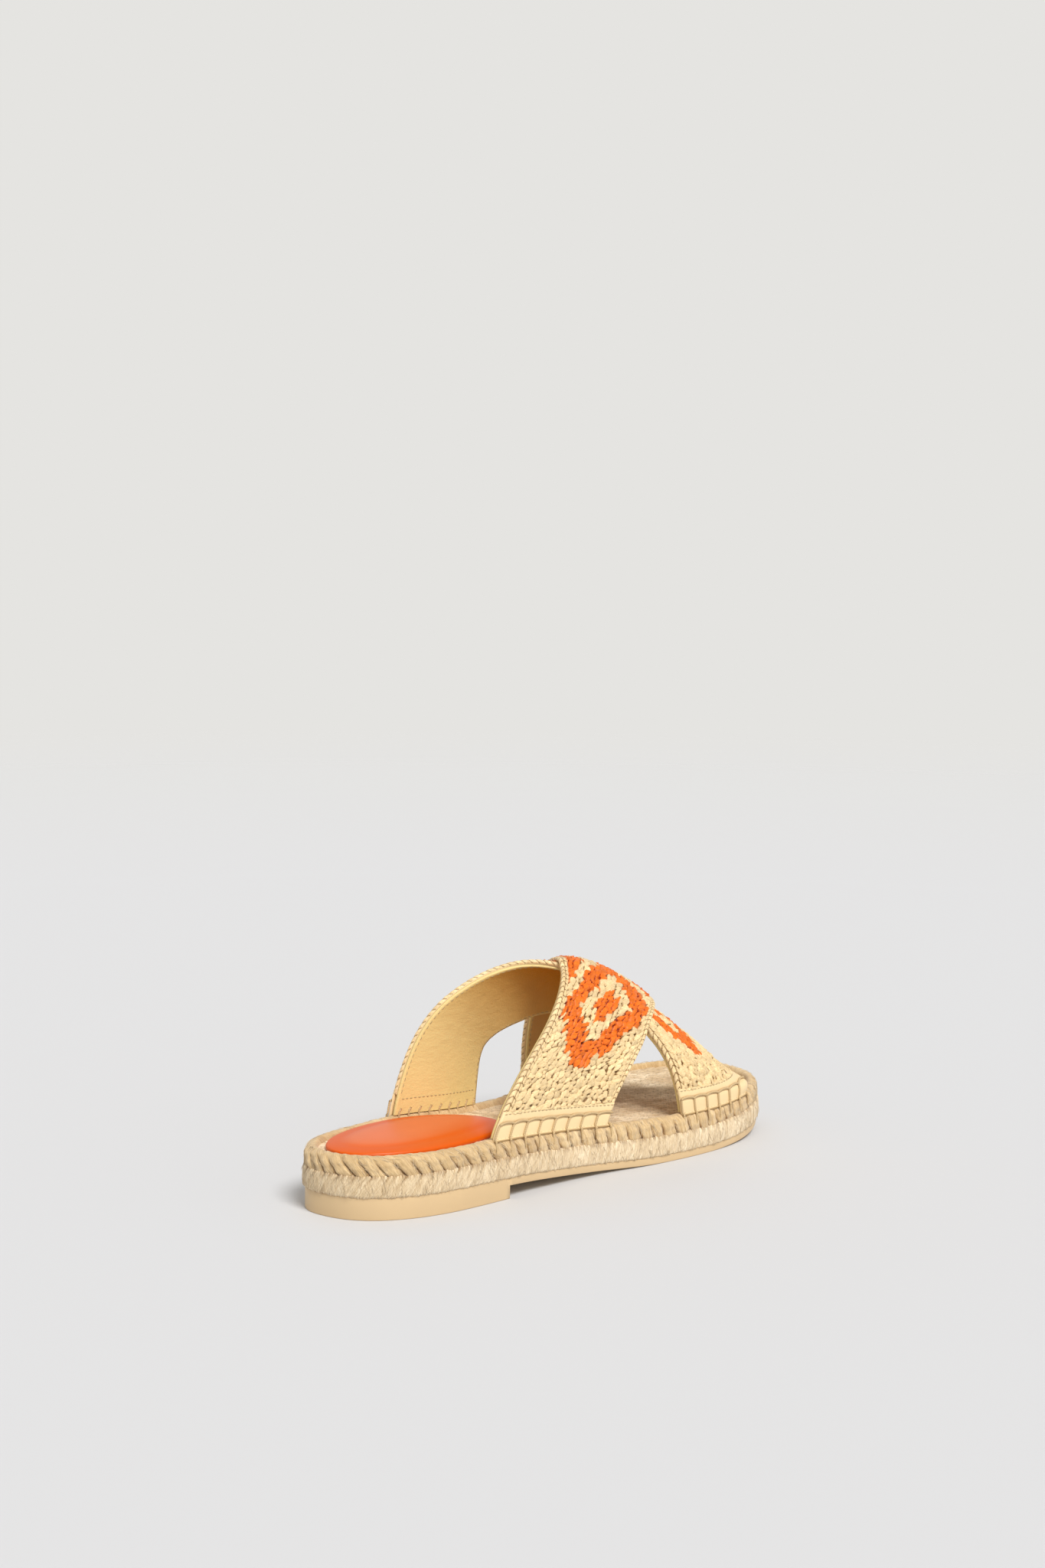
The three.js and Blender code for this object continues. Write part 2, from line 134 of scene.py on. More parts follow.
# Motif: rows in a repeat, width in its own steps, and the first and last row on each strap
MOTIF_ROWS = 12
MOTIF_WIDTH = 13
MOTIF_OVER = (4, 32)
MOTIF_UNDER = (3, 32)

# Grids: points along by points across
TURN_GRID = (241, 41)
CROCHET_ROW_POINTS = 13
CROCHET_COLUMNS = 171
CHAIN_GRID = (560, 14)
LINING_GRID = (161, 41)
FOOTBED_GRID = (360, 112)
CUSHION_GRID = (60, 160)

# Section of the braid, closed: rise and inset as shares, and how much of the wraps' swell it takes
BRAID_SECTION = np.array([
    (0.00, 0.26, 0.1), (0.07, 0.16, 0.8), (0.25, 0.12, 1.0), (0.48, 0.12, 1.0), (0.70, 0.17, 1.0),
    (0.88, 0.32, 0.9), (0.98, 0.54, 0.6), (0.985, 0.76, 0.5), (0.88, 0.92, 0.4), (0.70, 1.00, 0.2),
])
BRAID_SAMPLES = 28
WRAP_LEAN_SIDE = 0.25
WRAP_LEAN_HEEL = 0.65
HAIR_RADIUS = 0.09

# Section of the lower row, open inwards: share of its height, and inset in millimetres
ROW_SECTION = np.array([
    (0.00, 0.9), (0.06, 0.3), (0.25, 0.1), (0.50, 0.0), (0.75, 0.1), (0.94, 0.4), (1.00, 1.0),
])
ROW_SAMPLES = 15
POINTS_PER_STRAND = 5
POINTS_PER_WRAP = 22

# Weave of the footbed: spacing of the rows, length of a float, relief, and turn in degrees
WEAVE_PITCH = 2.1
WEAVE_FLOAT = 5.2
WEAVE_RELIEF = 0.55
WEAVE_TURN = -38

# Heel cushion
CUSHION_LENGTH = 87
CUSHION_WIDTH = 48
CUSHION_SETBACK = 7.5
CUSHION_SHIFT = -4.8
# From the edge to the crown: inset and rise
CUSHION_SECTION = np.array([
    (1.5, 0.0), (0.5, 0.1), (0.1, 0.6), (0.0, 1.2), (0.15, 1.7), (0.6, 2.1), (2.0, 2.45), (4.0, 2.75),
    (6.0, 2.95), (7.5, 3.2), (9.0, 3.5), (12.0, 3.85), (16.0, 4.05), (20.0, 4.1), (23.0, 4.1),
])

# Stitches: lines on the bands as shares of their height, the rest in millimetres
CORD_LINE = 0.60
BAND_THREAD_LINES = (0.91, 0.12)
LOOP_COUNT = 9
LOOP_HEIGHT = 2.6
FOOT_THREAD_HEIGHT = 6.5
THREAD_INSET_OUTSIDE = 0.84
THREAD_INSET_INSIDE = 0.035
THREAD_RADIUS = 0.16
THREAD_FILL = 0.68
OUTER_FACE = STRAP_WALL / 2
INNER_FACE = -STRAP_WALL / 2

# Camera, from the photograph: angles in degrees, distance and offsets in millimetres, focus in pixels
IMAGE_HEIGHT = 2048
CAMERA_TURN = -44.71
CAMERA_TILT = 5.63
CAMERA_ROLL = -0.55
CAMERA_DISTANCE = 1000.3
CAMERA_ASIDE = 8.37
CAMERA_BELOW = -131.41
CAMERA_FOCUS = 3049.3
CAMERA_TARGET = (0, -3, 30)
SENSOR = 36

# Floor disc, in metres
FLOOR_RADIUS = 3.0
FLOOR_SIDES = 96


def size(name, description, default):
    """A length of the sandal, in metres."""
    return bpy.props.FloatProperty(name=name, description=description, default=default, unit="LENGTH")


def tint(name, description, default):
    """A colour of the sandal, as linear red, green and blue."""
    return bpy.props.FloatVectorProperty(
        name=name, description=description, default=default, subtype="COLOR")


class SandalSizes(bpy.types.PropertyGroup):
    """Sizes of the weave, braid, seams and stitches."""

    stitch_width: size("Crochet row", "Width of one row of crochet along the strap", 0.0051)
    stitch_count: bpy.props.IntProperty(
        name="Crochet stitches", description="Stitches in a row from rear to front edge", default=16)
    stitch_relief: size("Crochet relief", "How far the stitches stand over their gaps", 0.0013)
    edge_width: size("Strap edge", "Width of the chain and the sewn strip along each strap edge", 0.0036)
    wrap_pitch: size("Braid wrap", "Distance between the wraps of the braid", 0.0066)
    wrap_depth: size("Braid depth", "How far the wraps swell over the gaps between them", 0.0013)
    strand_pitch: size("Row strand", "Distance between the strands of the lower jute row", 0.0012)
    cord_diameter: size("Stitch cord", "Diameter of the jute cord that sews the bands down", 0.0010)
    cord_pitch: size("Cord stitch", "Distance between the upright stitches over the bands", 0.0080)
    thread_pitch: size("Thread stitch", "Length of one machine stitch with its gap", 0.0026)


class SandalColours(bpy.types.PropertyGroup):
    """Colours of the finishes."""

    straw: tint("Straw", "Natural raffia", (0.80, 0.545, 0.255))
    pale_straw: tint("Pale straw", "Streaks in the natural raffia", (0.96, 0.75, 0.43))
    orange: tint("Orange raffia", "Dyed raffia of the motif", (0.85, 0.14, 0.001))
    pale_orange: tint("Pale orange raffia", "Streaks in the dyed raffia", (0.98, 0.22, 0.006))
    pale_jute: tint("Pale jute", "Lower row of the side", (0.86, 0.69, 0.455))
    jute: tint("Jute", "Braid", (0.78, 0.565, 0.30))
    footbed: tint("Footbed", "Woven insole", (0.84, 0.65, 0.41))
    cord: tint("Cord", "Jute cord of the hand stitches", (0.62, 0.44, 0.23))
    rubber: tint("Rubber", "Outsole", (0.655, 0.47, 0.26))
    leather: tint("Tan leather", "Bands round the strap feet", (0.87, 0.66, 0.37))
    lining: tint("Lining", "Leather inside the straps", (0.82, 0.635, 0.275))
    cushion: tint("Orange leather", "Heel cushion", (0.76, 0.165, 0.045))
    floor: tint("Floor", "Floor under the sandal", (0.640, 0.645, 0.664))
    backdrop: tint("Backdrop", "Pale surrounding that lights the sandal", (0.784, 0.776, 0.753))


def smoothstep(low, high, value):
    """0 below low, 1 above high, and 3t squared less 2t cubed between them."""
    share = np.clip((value - low) / (high - low), 0, 1)
    return share * share * (3 - 2 * share)


def scatter(*keys):
    """A repeatable number from 0 to 1 for each set of whole numbers: the far digits of a sine."""
    mixed = sum(np.asarray(key, float) * weight for key, weight in zip(keys, (12.9898, 78.233, 37.719)))
    value = np.sin(mixed + 0.5) * 43758.5453
    return value - np.floor(value)


def smooth_through(values, place, closed=False):
    """Catmull-Rom curve: cubics through equally spaced values, whose slope at each value is half the
    step between its neighbours. An open curve runs straight on past its ends."""
    values = np.asarray(values, float)
    place = np.asarray(place, float)
    count = len(values)
    index = np.floor(place).astype(int)
    if closed:
        before, start, end, after = (values[(index + k) % count] for k in (-1, 0, 1, 2))
    else:
        index = np.clip(index, 0, count - 2)
        longer = np.concatenate([[2 * values[0] - values[1]], values, [2 * values[-1] - values[-2]]])
        before, start, end, after = (longer[index + k] for k in (0, 1, 2, 3))
    t = (place - index).reshape(place.shape + (1,) * (values.ndim - 1))
    rise, fall = (end - before) / 2, (after - start) / 2
    cubic = (2 * start - 2 * end + rise + fall) * t ** 3
    return cubic + (3 * end - 3 * start - 2 * rise - fall) * t ** 2 + rise * t + start


def between_samples(table, row, column):
    """Value of a table at fractional rows and columns, in straight lines between its samples."""
    r = np.clip(np.floor(row).astype(int), 0, table.shape[0] - 2)
    c = np.clip(np.floor(column).astype(int), 0, table.shape[1] - 2)
    down = (row - r).reshape(np.shape(row) + (1,) * (table.ndim - 2))
    over = (column - c).reshape(np.shape(column) + (1,) * (table.ndim - 2))
    upper = table[r, c] * (1 - over) + table[r, c + 1] * over
    lower = table[r + 1, c] * (1 - over) + table[r + 1, c + 1] * over
    return upper * (1 - down) + lower * down


def unit(vectors):
    """Each vector at a length of one."""
    return vectors / np.maximum(np.linalg.norm(vectors, axis=-1, keepdims=True), 1e-9)


def sole_height(x):
    """Underside of the sole: raised at the heel and arch, flat at the ball, turned up at the toe."""
    share = x / LENGTH + 0.5
    heel = HEEL_LIFT * (1 - smoothstep(ARCH_START, TREAD_START, share))
    toe = np.clip((share - TREAD_END) / (1 - TREAD_END), 0, None)
    return heel + TOE_SPRING * toe ** TOE_CURVE


def outline(angle):
    """Edge of the sole: x is a cosine of the angle, y a smooth curve through ROUND_VALUES."""
    place = np.mod(angle / TAU, 1) * len(ROUND_VALUES)
    y = BALL_WIDTH * smooth_through(ROUND_VALUES, place, closed=True)
    return np.stack([-HALF * np.cos(angle), y], axis=-1)


def inset_outline(angle, inset):
    """The outline moved inwards, square to its direction."""
    along = unit(outline(angle + 0.002) - outline(angle - 0.002))
    inward = np.stack([-along[..., 1], along[..., 0]], axis=-1)
    return outline(angle) + inward * np.asarray(inset)[..., None]


def on_sole(place, height):
    z = sole_height(place[..., 0]) + height
    return np.concatenate([place, z[..., None]], axis=-1)


ARC_ANGLES = np.linspace(0, TAU, 2401)
ARC_STEPS = np.linalg.norm(np.diff(outline(ARC_ANGLES), axis=0), axis=-1)
ARC_LENGTHS = np.concatenate([[0], np.cumsum(ARC_STEPS)])
ROUND_LENGTH = ARC_LENGTHS[-1]


def angle_at_length(length):
    return np.interp(np.mod(length, ROUND_LENGTH), ARC_LENGTHS, ARC_ANGLES)


def side_angle(x, side):
    """Angle of the outline at x, on the lateral side (-1) or the medial side (1)."""
    return -side * np.arccos(np.clip(-x / HALF, -1, 1))


def last_point(x, turn, lift):
    """Point of the last: an arch of powers of a sine and a cosine from the lateral to the medial edge."""
    lateral = -outline(side_angle(x, -1))[..., 1] - STRAP_INSET
    medial = outline(side_angle(x, 1))[..., 1] - STRAP_INSET
    place = np.clip(x / LENGTH + 0.5, 0, 1) * (len(INSTEP) - 1)
    rise = smooth_through(INSTEP, place) + lift
    across = np.cos(np.pi * turn)
    up = np.clip(np.sin(np.pi * turn), 0, None) ** LAST_TOP_POWER
    swing = np.sign(across) * np.abs(across) ** LAST_SIDE_POWER
    y = (medial - lateral) / 2 - (medial + lateral) / 2 * swing
    return np.stack([x, y, sole_height(x) + STRAP_FOOT + rise * up], axis=-1)


class Strap:
    """A strap's middle surface over the last. Turn runs from 0 at the lateral foot to 1 at the medial
    foot, and width from 0 at the rear edge to 1 at the front edge."""

    def __init__(self, rear, front, below=None):
        self.rear = np.array(rear) * LENGTH
        self.front = np.array(front) * LENGTH
        self.below = below
        self.even_turns = self.turn_table()

    def edges(self, turn):
        place = turn * (len(self.rear) - 1)
        return smooth_through(self.rear, place), smooth_through(self.front, place)

    def middle(self, turn, width):
        """Between the edges in straight lines, with a crown across and a lift over the strap below."""
        rear, front = self.edges(turn)
        place = rear + (front - rear) * width[..., None]
        crown = STRAP_CROWN * 4 * width * (1 - width) * np.sin(np.pi * turn)
        lift = place[..., 1] + crown
        if self.below:
            below_rear, below_front = self.below.edges(turn)
            inside = np.minimum(place[..., 0] - below_rear[..., 0], below_front[..., 0] - place[..., 0])
            lift = lift + CROSSING_LIFT * smoothstep(-CROSSING_FADE, 0, inside)
        return last_point(place[..., 0] - HALF, turn, lift)

    def normal(self, turn, width):
        before, after = np.clip(turn - 0.01, 0, 1), np.clip(turn + 0.01, 0, 1)
        behind, ahead = np.clip(width - 0.01, 0, 1), np.clip(width + 0.01, 0, 1)
        along = self.middle(after, width) - self.middle(before, width)
        across = self.middle(turn, ahead) - self.middle(turn, behind)
        return unit(np.cross(across, along))

    def point(self, turn, width, offset):
        return self.middle(turn, width) + self.normal(turn, width) * np.asarray(offset)[..., None]

    def turn_at_height(self, end, width, height):
        """Turn at which the strap has climbed to a height over its foot, by halving an interval."""
        low = np.zeros_like(width)
        high = np.full_like(width, 0.3)
        for _ in range(24):
            half = (low + high) / 2
            place = self.middle(np.abs(end - half), width)
            short = place[..., 2] - sole_height(place[..., 0]) - STRAP_FOOT < height
            low, high = np.where(short, half, low), np.where(short, high, half)
        return np.abs(end - low)

    def turn_table(self):
        """Turns at equal steps of length along the strap, between its band tops, on lines of width."""
        rows, columns = TURN_GRID
        width = np.linspace(0, 1, columns)
        start = self.turn_at_height(0, width, BAND_HEIGHT - 0.6)
        end = self.turn_at_height(1, width, BAND_HEIGHT - 0.6)
        turns = start + (end - start) * np.linspace(0, 1, rows)[:, None]
        places = self.middle(turns, np.broadcast_to(width, turns.shape))
        lengths = np.zeros(turns.shape)
        lengths[1:] = np.cumsum(np.linalg.norm(np.diff(places, axis=0), axis=-1), axis=0)
        self.length = lengths[-1].mean()
        even = np.linspace(0, 1, rows)
        lines = [np.interp(even, lengths[:, k] / lengths[-1, k], turns[:, k]) for k in range(columns)]
        return np.stack(lines, axis=1)

    def turn_at(self, along, width):
        """Turn of the point whose share of the strap's length between the band tops is given."""
        rows, columns = TURN_GRID
        return between_samples(self.even_turns, along * (rows - 1), width * (columns - 1))


UNDER = Strap(UNDER_REAR, UNDER_FRONT)
OVER = Strap(OVER_REAR, OVER_FRONT, below=UNDER)


def grid_faces(rows, columns, close_rows=False, close_columns=False):
    """Four-sided faces between neighbouring points of a grid that is stored row by row."""
    r, c = np.meshgrid(np.arange(rows if close_rows else rows - 1),
                       np.arange(columns if close_columns else columns - 1), indexing="ij")
    after, beside = (r + 1) % rows, (c + 1) % columns
    corners = [r * columns + c, after * columns + c, after * columns + beside, r * columns + beside]
    return np.stack(corners, axis=-1).reshape(-1, 4)


def zip_faces(first, second):
    """Triangles that close the strip between two rows of points of different counts."""
    i = np.arange(len(first) - 1)
    j = np.round(np.arange(len(first)) * (len(second) - 1) / (len(first) - 1)).astype(int)
    fans = np.stack([first[i], first[i + 1], second[j[:-1]]], axis=-1)
    steps = np.flatnonzero(j[1:] > j[:-1])
    gaps = np.stack([first[steps + 1], second[j[steps + 1]], second[j[steps]]], axis=-1)
    return np.concatenate([fans, gaps])


def capped_rings(rows, columns):
    """Faces of a stack of rings that mirror about their first point, with both ends closed."""
    i = np.arange(1, columns // 2 - 1)
    across = np.stack([i, i + 1, columns - i - 1, columns - i], axis=-1)
    half = columns // 2
    tips = np.array([[0, 1, columns - 1], [half, half + 1, half - 1]])
    top = (rows - 1) * columns
    return [grid_faces(rows, columns, close_columns=True), across, across[:, ::-1] + top,
            tips, tips[:, ::-1] + top]


def closed_sheet(front, back):
    """Points and faces of a sheet from its two sides, joined along their edges and at both ends."""
    points = np.concatenate([front, back[:, ::-1]], axis=1)
    rows, around = points.shape[:2]
    first = np.arange(around // 2 - 1)
    cap = np.stack([first, first + 1, around - 2 - first, around - 1 - first], axis=-1)
    return points, [grid_faces(rows, around, close_columns=True), cap, cap[:, ::-1] + (rows - 1) * around]


def rolled(edge, width, depth):
    """How far a rounded edge of a width drops at a distance from it: a quarter circle's depth."""
    inside = 1 - np.clip(edge / width, 0, 1)
    return depth * (1 - np.sqrt(np.clip(1 - inside ** 2, 0, 1)))


def grid_normals(points):
    """Outward direction at each point of a grid, from the steps to its neighbours."""
    return unit(np.cross(np.gradient(points, axis=1), np.gradient(points, axis=0)))


def outward(points, faces):
    """Faces turned so that the volume they enclose is positive."""
    volume = 0
    for group in faces:
        for k in range(1, group.shape[1] - 1):
            a, b, c = points[group[:, 0]], points[group[:, k]], points[group[:, k + 1]]
            volume += np.einsum("ij,ij->", a, np.cross(b, c))
    return [group[:, ::-1] for group in faces] if volume < 0 else faces


def new_piece(name, points, faces, material, nodes, values=None, uv=None):
    points = points.reshape(-1, 3) + ORIGIN_SHIFT
    faces = outward(points, faces)
    mesh = bpy.data.meshes.new(name)
    mesh.vertices.add(len(points))
    mesh.vertices.foreach_set("co", (points * MM).astype(np.float32).ravel())
    corners = np.concatenate([group.ravel() for group in faces])
    counts = np.concatenate([np.full(len(group), group.shape[1]) for group in faces])
    mesh.loops.add(len(corners))
    mesh.loops.foreach_set("vertex_index", corners.astype(np.int32))
    mesh.polygons.add(len(counts))
    starts = np.concatenate([[0], np.cumsum(counts)[:-1]])
    mesh.polygons.foreach_set("loop_start", starts.astype(np.int32))
    mesh.update(calc_edges=True)
    mesh.polygons.foreach_set("use_smooth", np.ones(len(counts), bool))
    for key, value in (values or {}).items():
        attribute = mesh.attributes.new(key, "FLOAT", "POINT")
        attribute.data.foreach_set("value", np.asarray(value, np.float32).ravel())
    if uv is not None:
        layer = mesh.uv_layers.new(name="UVMap")
        layer.data.foreach_set("uv", uv.reshape(-1, 2)[corners].astype(np.float32).ravel())
    mesh.validate()
    mesh.materials.append(material)
    piece = bpy.data.objects.new(name, mesh)
    bpy.context.scene.collection.objects.link(piece)
    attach(piece, "root")
    if nodes:
        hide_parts(*nodes)
    return piece


def round_cords(paths, normals, radius, sides=8):
    """Round cords along paths: a ring of points across the path at each of its points, ends closed.
    Gives points, faces, and a map of the way round and the length along."""
    count, steps = paths.shape[:2]
    along = unit(np.gradient(paths, axis=1))
    side = unit(np.cross(along, normals))
    up = np.cross(side, along)
    angles = TAU * np.arange(sides) / sides
    ring = np.cos(angles)[:, None] * side[:, :, None] + np.sin(angles)[:, None] * up[:, :, None]
    radius = np.asarray(radius, float)
    radius = radius if radius.ndim == 3 else np.broadcast_to(radius, (count, steps))[..., None]
    points = paths[:, :, None] + radius[..., None] * ring
    tube = grid_faces(steps, sides, close_columns=True)
    first = np.arange(count)[:, None, None] * steps * sides
    caps = np.stack([np.arange(sides)[::-1], (steps - 1) * sides + np.arange(sides)])
    lengths = np.zeros((count, steps))
    lengths[:, 1:] = np.cumsum(np.linalg.norm(np.diff(paths, axis=1), axis=-1), axis=1)
    uv = np.stack(np.broadcast_arrays(angles / TAU, lengths[..., None] + np.arange(count)[:, None, None]),
                  axis=-1)
    faces = [(tube + first).reshape(-1, 4), (caps + first).reshape(-1, sides)]
    return points.reshape(-1, 3), faces, uv.reshape(-1, 2)


def joined(parts):
    """Several point, face and map sets as one."""
    points, faces, maps, start = [], [], [], 0
    for part_points, part_faces, part_map in parts:
        points.append(part_points)
        faces += [group + start for group in part_faces]
        maps.append(part_map)
        start += len(part_points)
    return np.concatenate(points), faces, np.concatenate(maps)


def feed(tree, socket, value):
    """Links the socket that a value comes from, or sets the plain value."""
    if isinstance(value, bpy.types.NodeSocket):
        tree.links.new(value, socket)
    else:
        socket.default_value = value


def put(tree, kind, inputs=None, **settings):
    """Adds a node. An input is a plain value or the socket that feeds it."""
    node = tree.nodes.new(kind)
    for name, value in settings.items():
        setattr(node, name, value)
    for name, value in (inputs or {}).items():
        feed(tree, node.inputs[name], value)
    return node


def number(tree, operation, *values):
    inputs = dict(enumerate(values))
    return put(tree, "ShaderNodeMath", inputs, operation=operation).outputs[0]


def blend(tree, share, first, second, way="MIX"):
    """A colour between two, or their product, by a share of the second."""
    inputs = {0: share, 6: first, 7: second}
    return put(tree, "ShaderNodeMix", inputs, data_type="RGBA", blend_type=way).outputs[2]


def spread(tree, value, low, high, to_low=0.0, to_high=1.0):
    inputs = {"Value": value, "From Min": low, "From Max": high, "To Min": to_low, "To Max": to_high}
    return put(tree, "ShaderNodeMapRange", inputs).outputs[0]


def noise(tree, vector, scale, detail=2.0, roughness=0.5):
    inputs = {"Vector": vector, "Scale": scale, "Detail": detail, "Roughness": roughness}
    return put(tree, "ShaderNodeTexNoise", inputs).outputs["Fac"]


def stretched(tree, vector, scale):
    inputs = {"Vector": vector, "Scale": scale}
    return put(tree, "ShaderNodeMapping", inputs).outputs[0]


def attribute(tree, name):
    return put(tree, "ShaderNodeAttribute", attribute_name=name).outputs["Fac"]


def colour(value):
    return (*value, 1.0)


def darker(value, share):
    """The colour times a share, or a share for each channel."""
    return (*(np.array(value) * share).tolist(), 1.0)


def finish(name, build):
    """A material whose shader sockets come from build(tree, shader)."""
    material = bpy.data.materials.new(name)
    material.use_nodes = True
    tree = material.node_tree
    tree.nodes.clear()
    shader = put(tree, "ShaderNodeBsdfPrincipled")
    put(tree, "ShaderNodeOutputMaterial", {"Surface": shader.outputs[0]})
    build(tree, shader)
    return material


def connect(tree, shader, **sockets):
    for name, value in sockets.items():
        feed(tree, shader.inputs[name.replace("_", " ")], value)


def bump(tree, height, strength, distance):
    inputs = {"Height": height, "Strength": strength, "Distance": distance * MM}
    return put(tree, "ShaderNodeBump", inputs).outputs[0]


def place_of(tree):
    return put(tree, "ShaderNodeTexCoord").outputs["Object"]


def map_of(tree):
    return put(tree, "ShaderNodeUVMap", uv_map="UVMap").outputs[0]


def rubber_finish(colours):
    """Smooth moulded rubber with faint clouds and a fine matt skin."""
    def build(tree, shader):
        place = place_of(tree)
        clouds = noise(tree, place, 45, 3)
        base = blend(tree, clouds, darker(colours.rubber, 0.93), darker(colours.rubber, 1.05))
        skin = noise(tree, place, 2500, 2)
        connect(tree, shader, Base_Color=base, Roughness=0.48, Normal=bump(tree, skin, 0.12, 0.1))
    return finish("Matt tan rubber", build)


def jute_finish(name, base_colour, fibre_scale, mottle=0.1, flecked=0.35):
    """Jute: coarse and fine fibres drawn along the strands by the map, clouds, brown flecks, and painted
    shade in the gaps with the brown of knots. Shade turns the colour browner as well as darker, by a higher
    power of it in blue than in red."""
    def build(tree, shader):
        along = map_of(tree)
        place = place_of(tree)
        fibre = noise(tree, stretched(tree, along, fibre_scale), 1, 4, 0.65)
        fine = noise(tree, stretched(tree, along, fibre_scale), 3.2, 3, 0.6)
        cloud = noise(tree, place, 130, 3)
        flecks = noise(tree, place, 520, 3, 0.7)
        coarse = spread(tree, fibre, 0.32, 0.68, 0.72, 1.16)
        shade = number(tree, "MULTIPLY", coarse, attribute(tree, "tone"))
        shade = number(tree, "MULTIPLY", shade, spread(tree, fine, 0.32, 0.68, 0.86, 1.12))
        shade = number(tree, "MULTIPLY", shade, spread(tree, cloud, 0.3, 0.7, 1 - mottle, 1 + mottle))
        channels = {k: number(tree, "POWER", shade, power) for k, power in enumerate((0.75, 1.0, 1.4))}
        tint = put(tree, "ShaderNodeCombineColor", channels).outputs[0]
        lit = blend(tree, 1.0, colour(base_colour), tint, "MULTIPLY")
        brown = darker(base_colour, JUTE_FLECK_AND_PAINTED_SHADE)
        lit = blend(tree, spread(tree, flecks, 0.60, 0.76, 0.0, flecked), lit, brown)
        # Painted shade in the gaps between strands, wraps and floats, and the brown of the braid's knots
        base = blend(tree, attribute(tree, "gap"), lit, brown)
        height = number(tree, "ADD", fibre, number(tree, "MULTIPLY", fine, 0.5))
        connect(tree, shader, Base_Color=base, Roughness=0.85, Normal=bump(tree, height, 0.8, 0.4),
                Sheen_Weight=0.25, Sheen_Roughness=0.6)
    return finish(name, build)


def raffia_finish(colours):
    """Crocheted raffia: glossy ribbon streaks, natural straw with dyed stitches, and painted shade in the
    gaps.
    """
    def build(tree, shader):
        along = map_of(tree)
        streak = noise(tree, stretched(tree, along, (1.6, 0.5, 1)), 1.6, 3, 0.6)
        tone = attribute(tree, "tone")
        gap = attribute(tree, "gap")
        dyed = attribute(tree, "dyed")
        straw = blend(tree, spread(tree, streak, 0.3, 0.7), darker(colours.straw, 0.86),
                      colour(colours.pale_straw))
        orange = blend(tree, spread(tree, streak, 0.3, 0.75), darker(colours.orange, 0.78),
                       colour(colours.pale_orange))
        shade = put(tree, "ShaderNodeCombineColor", {0: tone, 1: tone, 2: tone}).outputs[0]
        shaded = blend(tree, 1.0, blend(tree, dyed, straw, orange), shade, "MULTIPLY")
        # Painted shade: the deep colours of the slits and gaps
        deep = blend(tree, dyed, colour(STRAW_PAINTED_SHADE), colour(ORANGE_PAINTED_SHADE))
        base = blend(tree, spread(tree, gap, 0.3, 0.7), shaded, deep)
        connect(tree, shader, Base_Color=base, Roughness=0.5, Coat_Weight=0.1, Coat_Roughness=0.35,
                Specular_IOR_Level=0.35, Normal=bump(tree, streak, 0.4, 0.25))
    return finish("Crocheted raffia", build)


def leather_finish(name, base_colour, roughness, coat, grain, deep):
    """Smooth leather: fine pebbled grain, faint clouds, wider shallow wrinkles, and a deeper tone, as
    shares of the colour, where its darkening attribute is set: painted shade on the lining and cushion, a
    darker lower edge on the band."""
    def build(tree, shader):
        place = place_of(tree)
        pores = put(tree, "ShaderNodeTexVoronoi", {"Vector": place, "Scale": 1500.0}).outputs["Distance"]
        wrinkle = noise(tree, stretched(tree, place, (1, 1, 1.8)), 240, 4, 0.6)
        cloud = noise(tree, place, 60, 3)
        base = blend(tree, cloud, darker(base_colour, 0.9), darker(base_colour, 1.06))
        # Painted shade on the lining and cushion, a darker lower edge on the band
        base = blend(tree, attribute(tree, "burnish"), base, darker(base_colour, deep))
        height = number(tree, "ADD", number(tree, "MULTIPLY", pores, 0.25), wrinkle)
        connect(tree, shader, Base_Color=base, Roughness=roughness, Coat_Weight=coat,
                Coat_Roughness=0.22, Specular_IOR_Level=0.28, Normal=bump(tree, height, grain, 0.3))
    return finish(name, build)


def cord_finish(name, base_colour, twist):
    """Twisted cord: oblique plies and fibres by the map's way round and length, darker where they sink:
    painted shade in the grooves between plies, and fibre tone.
    """
    def build(tree, shader):
        along = map_of(tree)
        fibre = noise(tree, stretched(tree, along, (9, 2.2, 1)), 1, 3, 0.6)
        plies = put(tree, "ShaderNodeTexWave", {
            "Vector": stretched(tree, along, (1, twist, 1)), "Scale": 1.0, "Distortion": 0.4},
            wave_type="BANDS", bands_direction="DIAGONAL").outputs["Fac"]
        height = number(tree, "ADD", number(tree, "MULTIPLY", plies, 0.7), fibre)
        # Painted shade in the grooves between plies, and fibre tone: darker where the height is low
        base = blend(tree, spread(tree, height, 0.35, 1.1), darker(base_colour, 0.6),
                     darker(base_colour, 1.15))
        connect(tree, shader, Base_Color=base, Roughness=0.85, Normal=bump(tree, height, 0.6, 0.2))
    return finish(name, build)


def floor_finish(colours):
    """Plain matt floor that thins out with distance, so that its far edge doesn't show."""
    def build(tree, shader):
        place = place_of(tree)
        far = put(tree, "ShaderNodeVectorMath", {0: place}, operation="LENGTH").outputs["Value"]
        connect(tree, shader, Base_Color=colour(colours.floor), Roughness=0.9,
                Alpha=spread(tree, far, 0.9, 2.4, 1.0, 0.0))
    return finish("Pale floor", build)


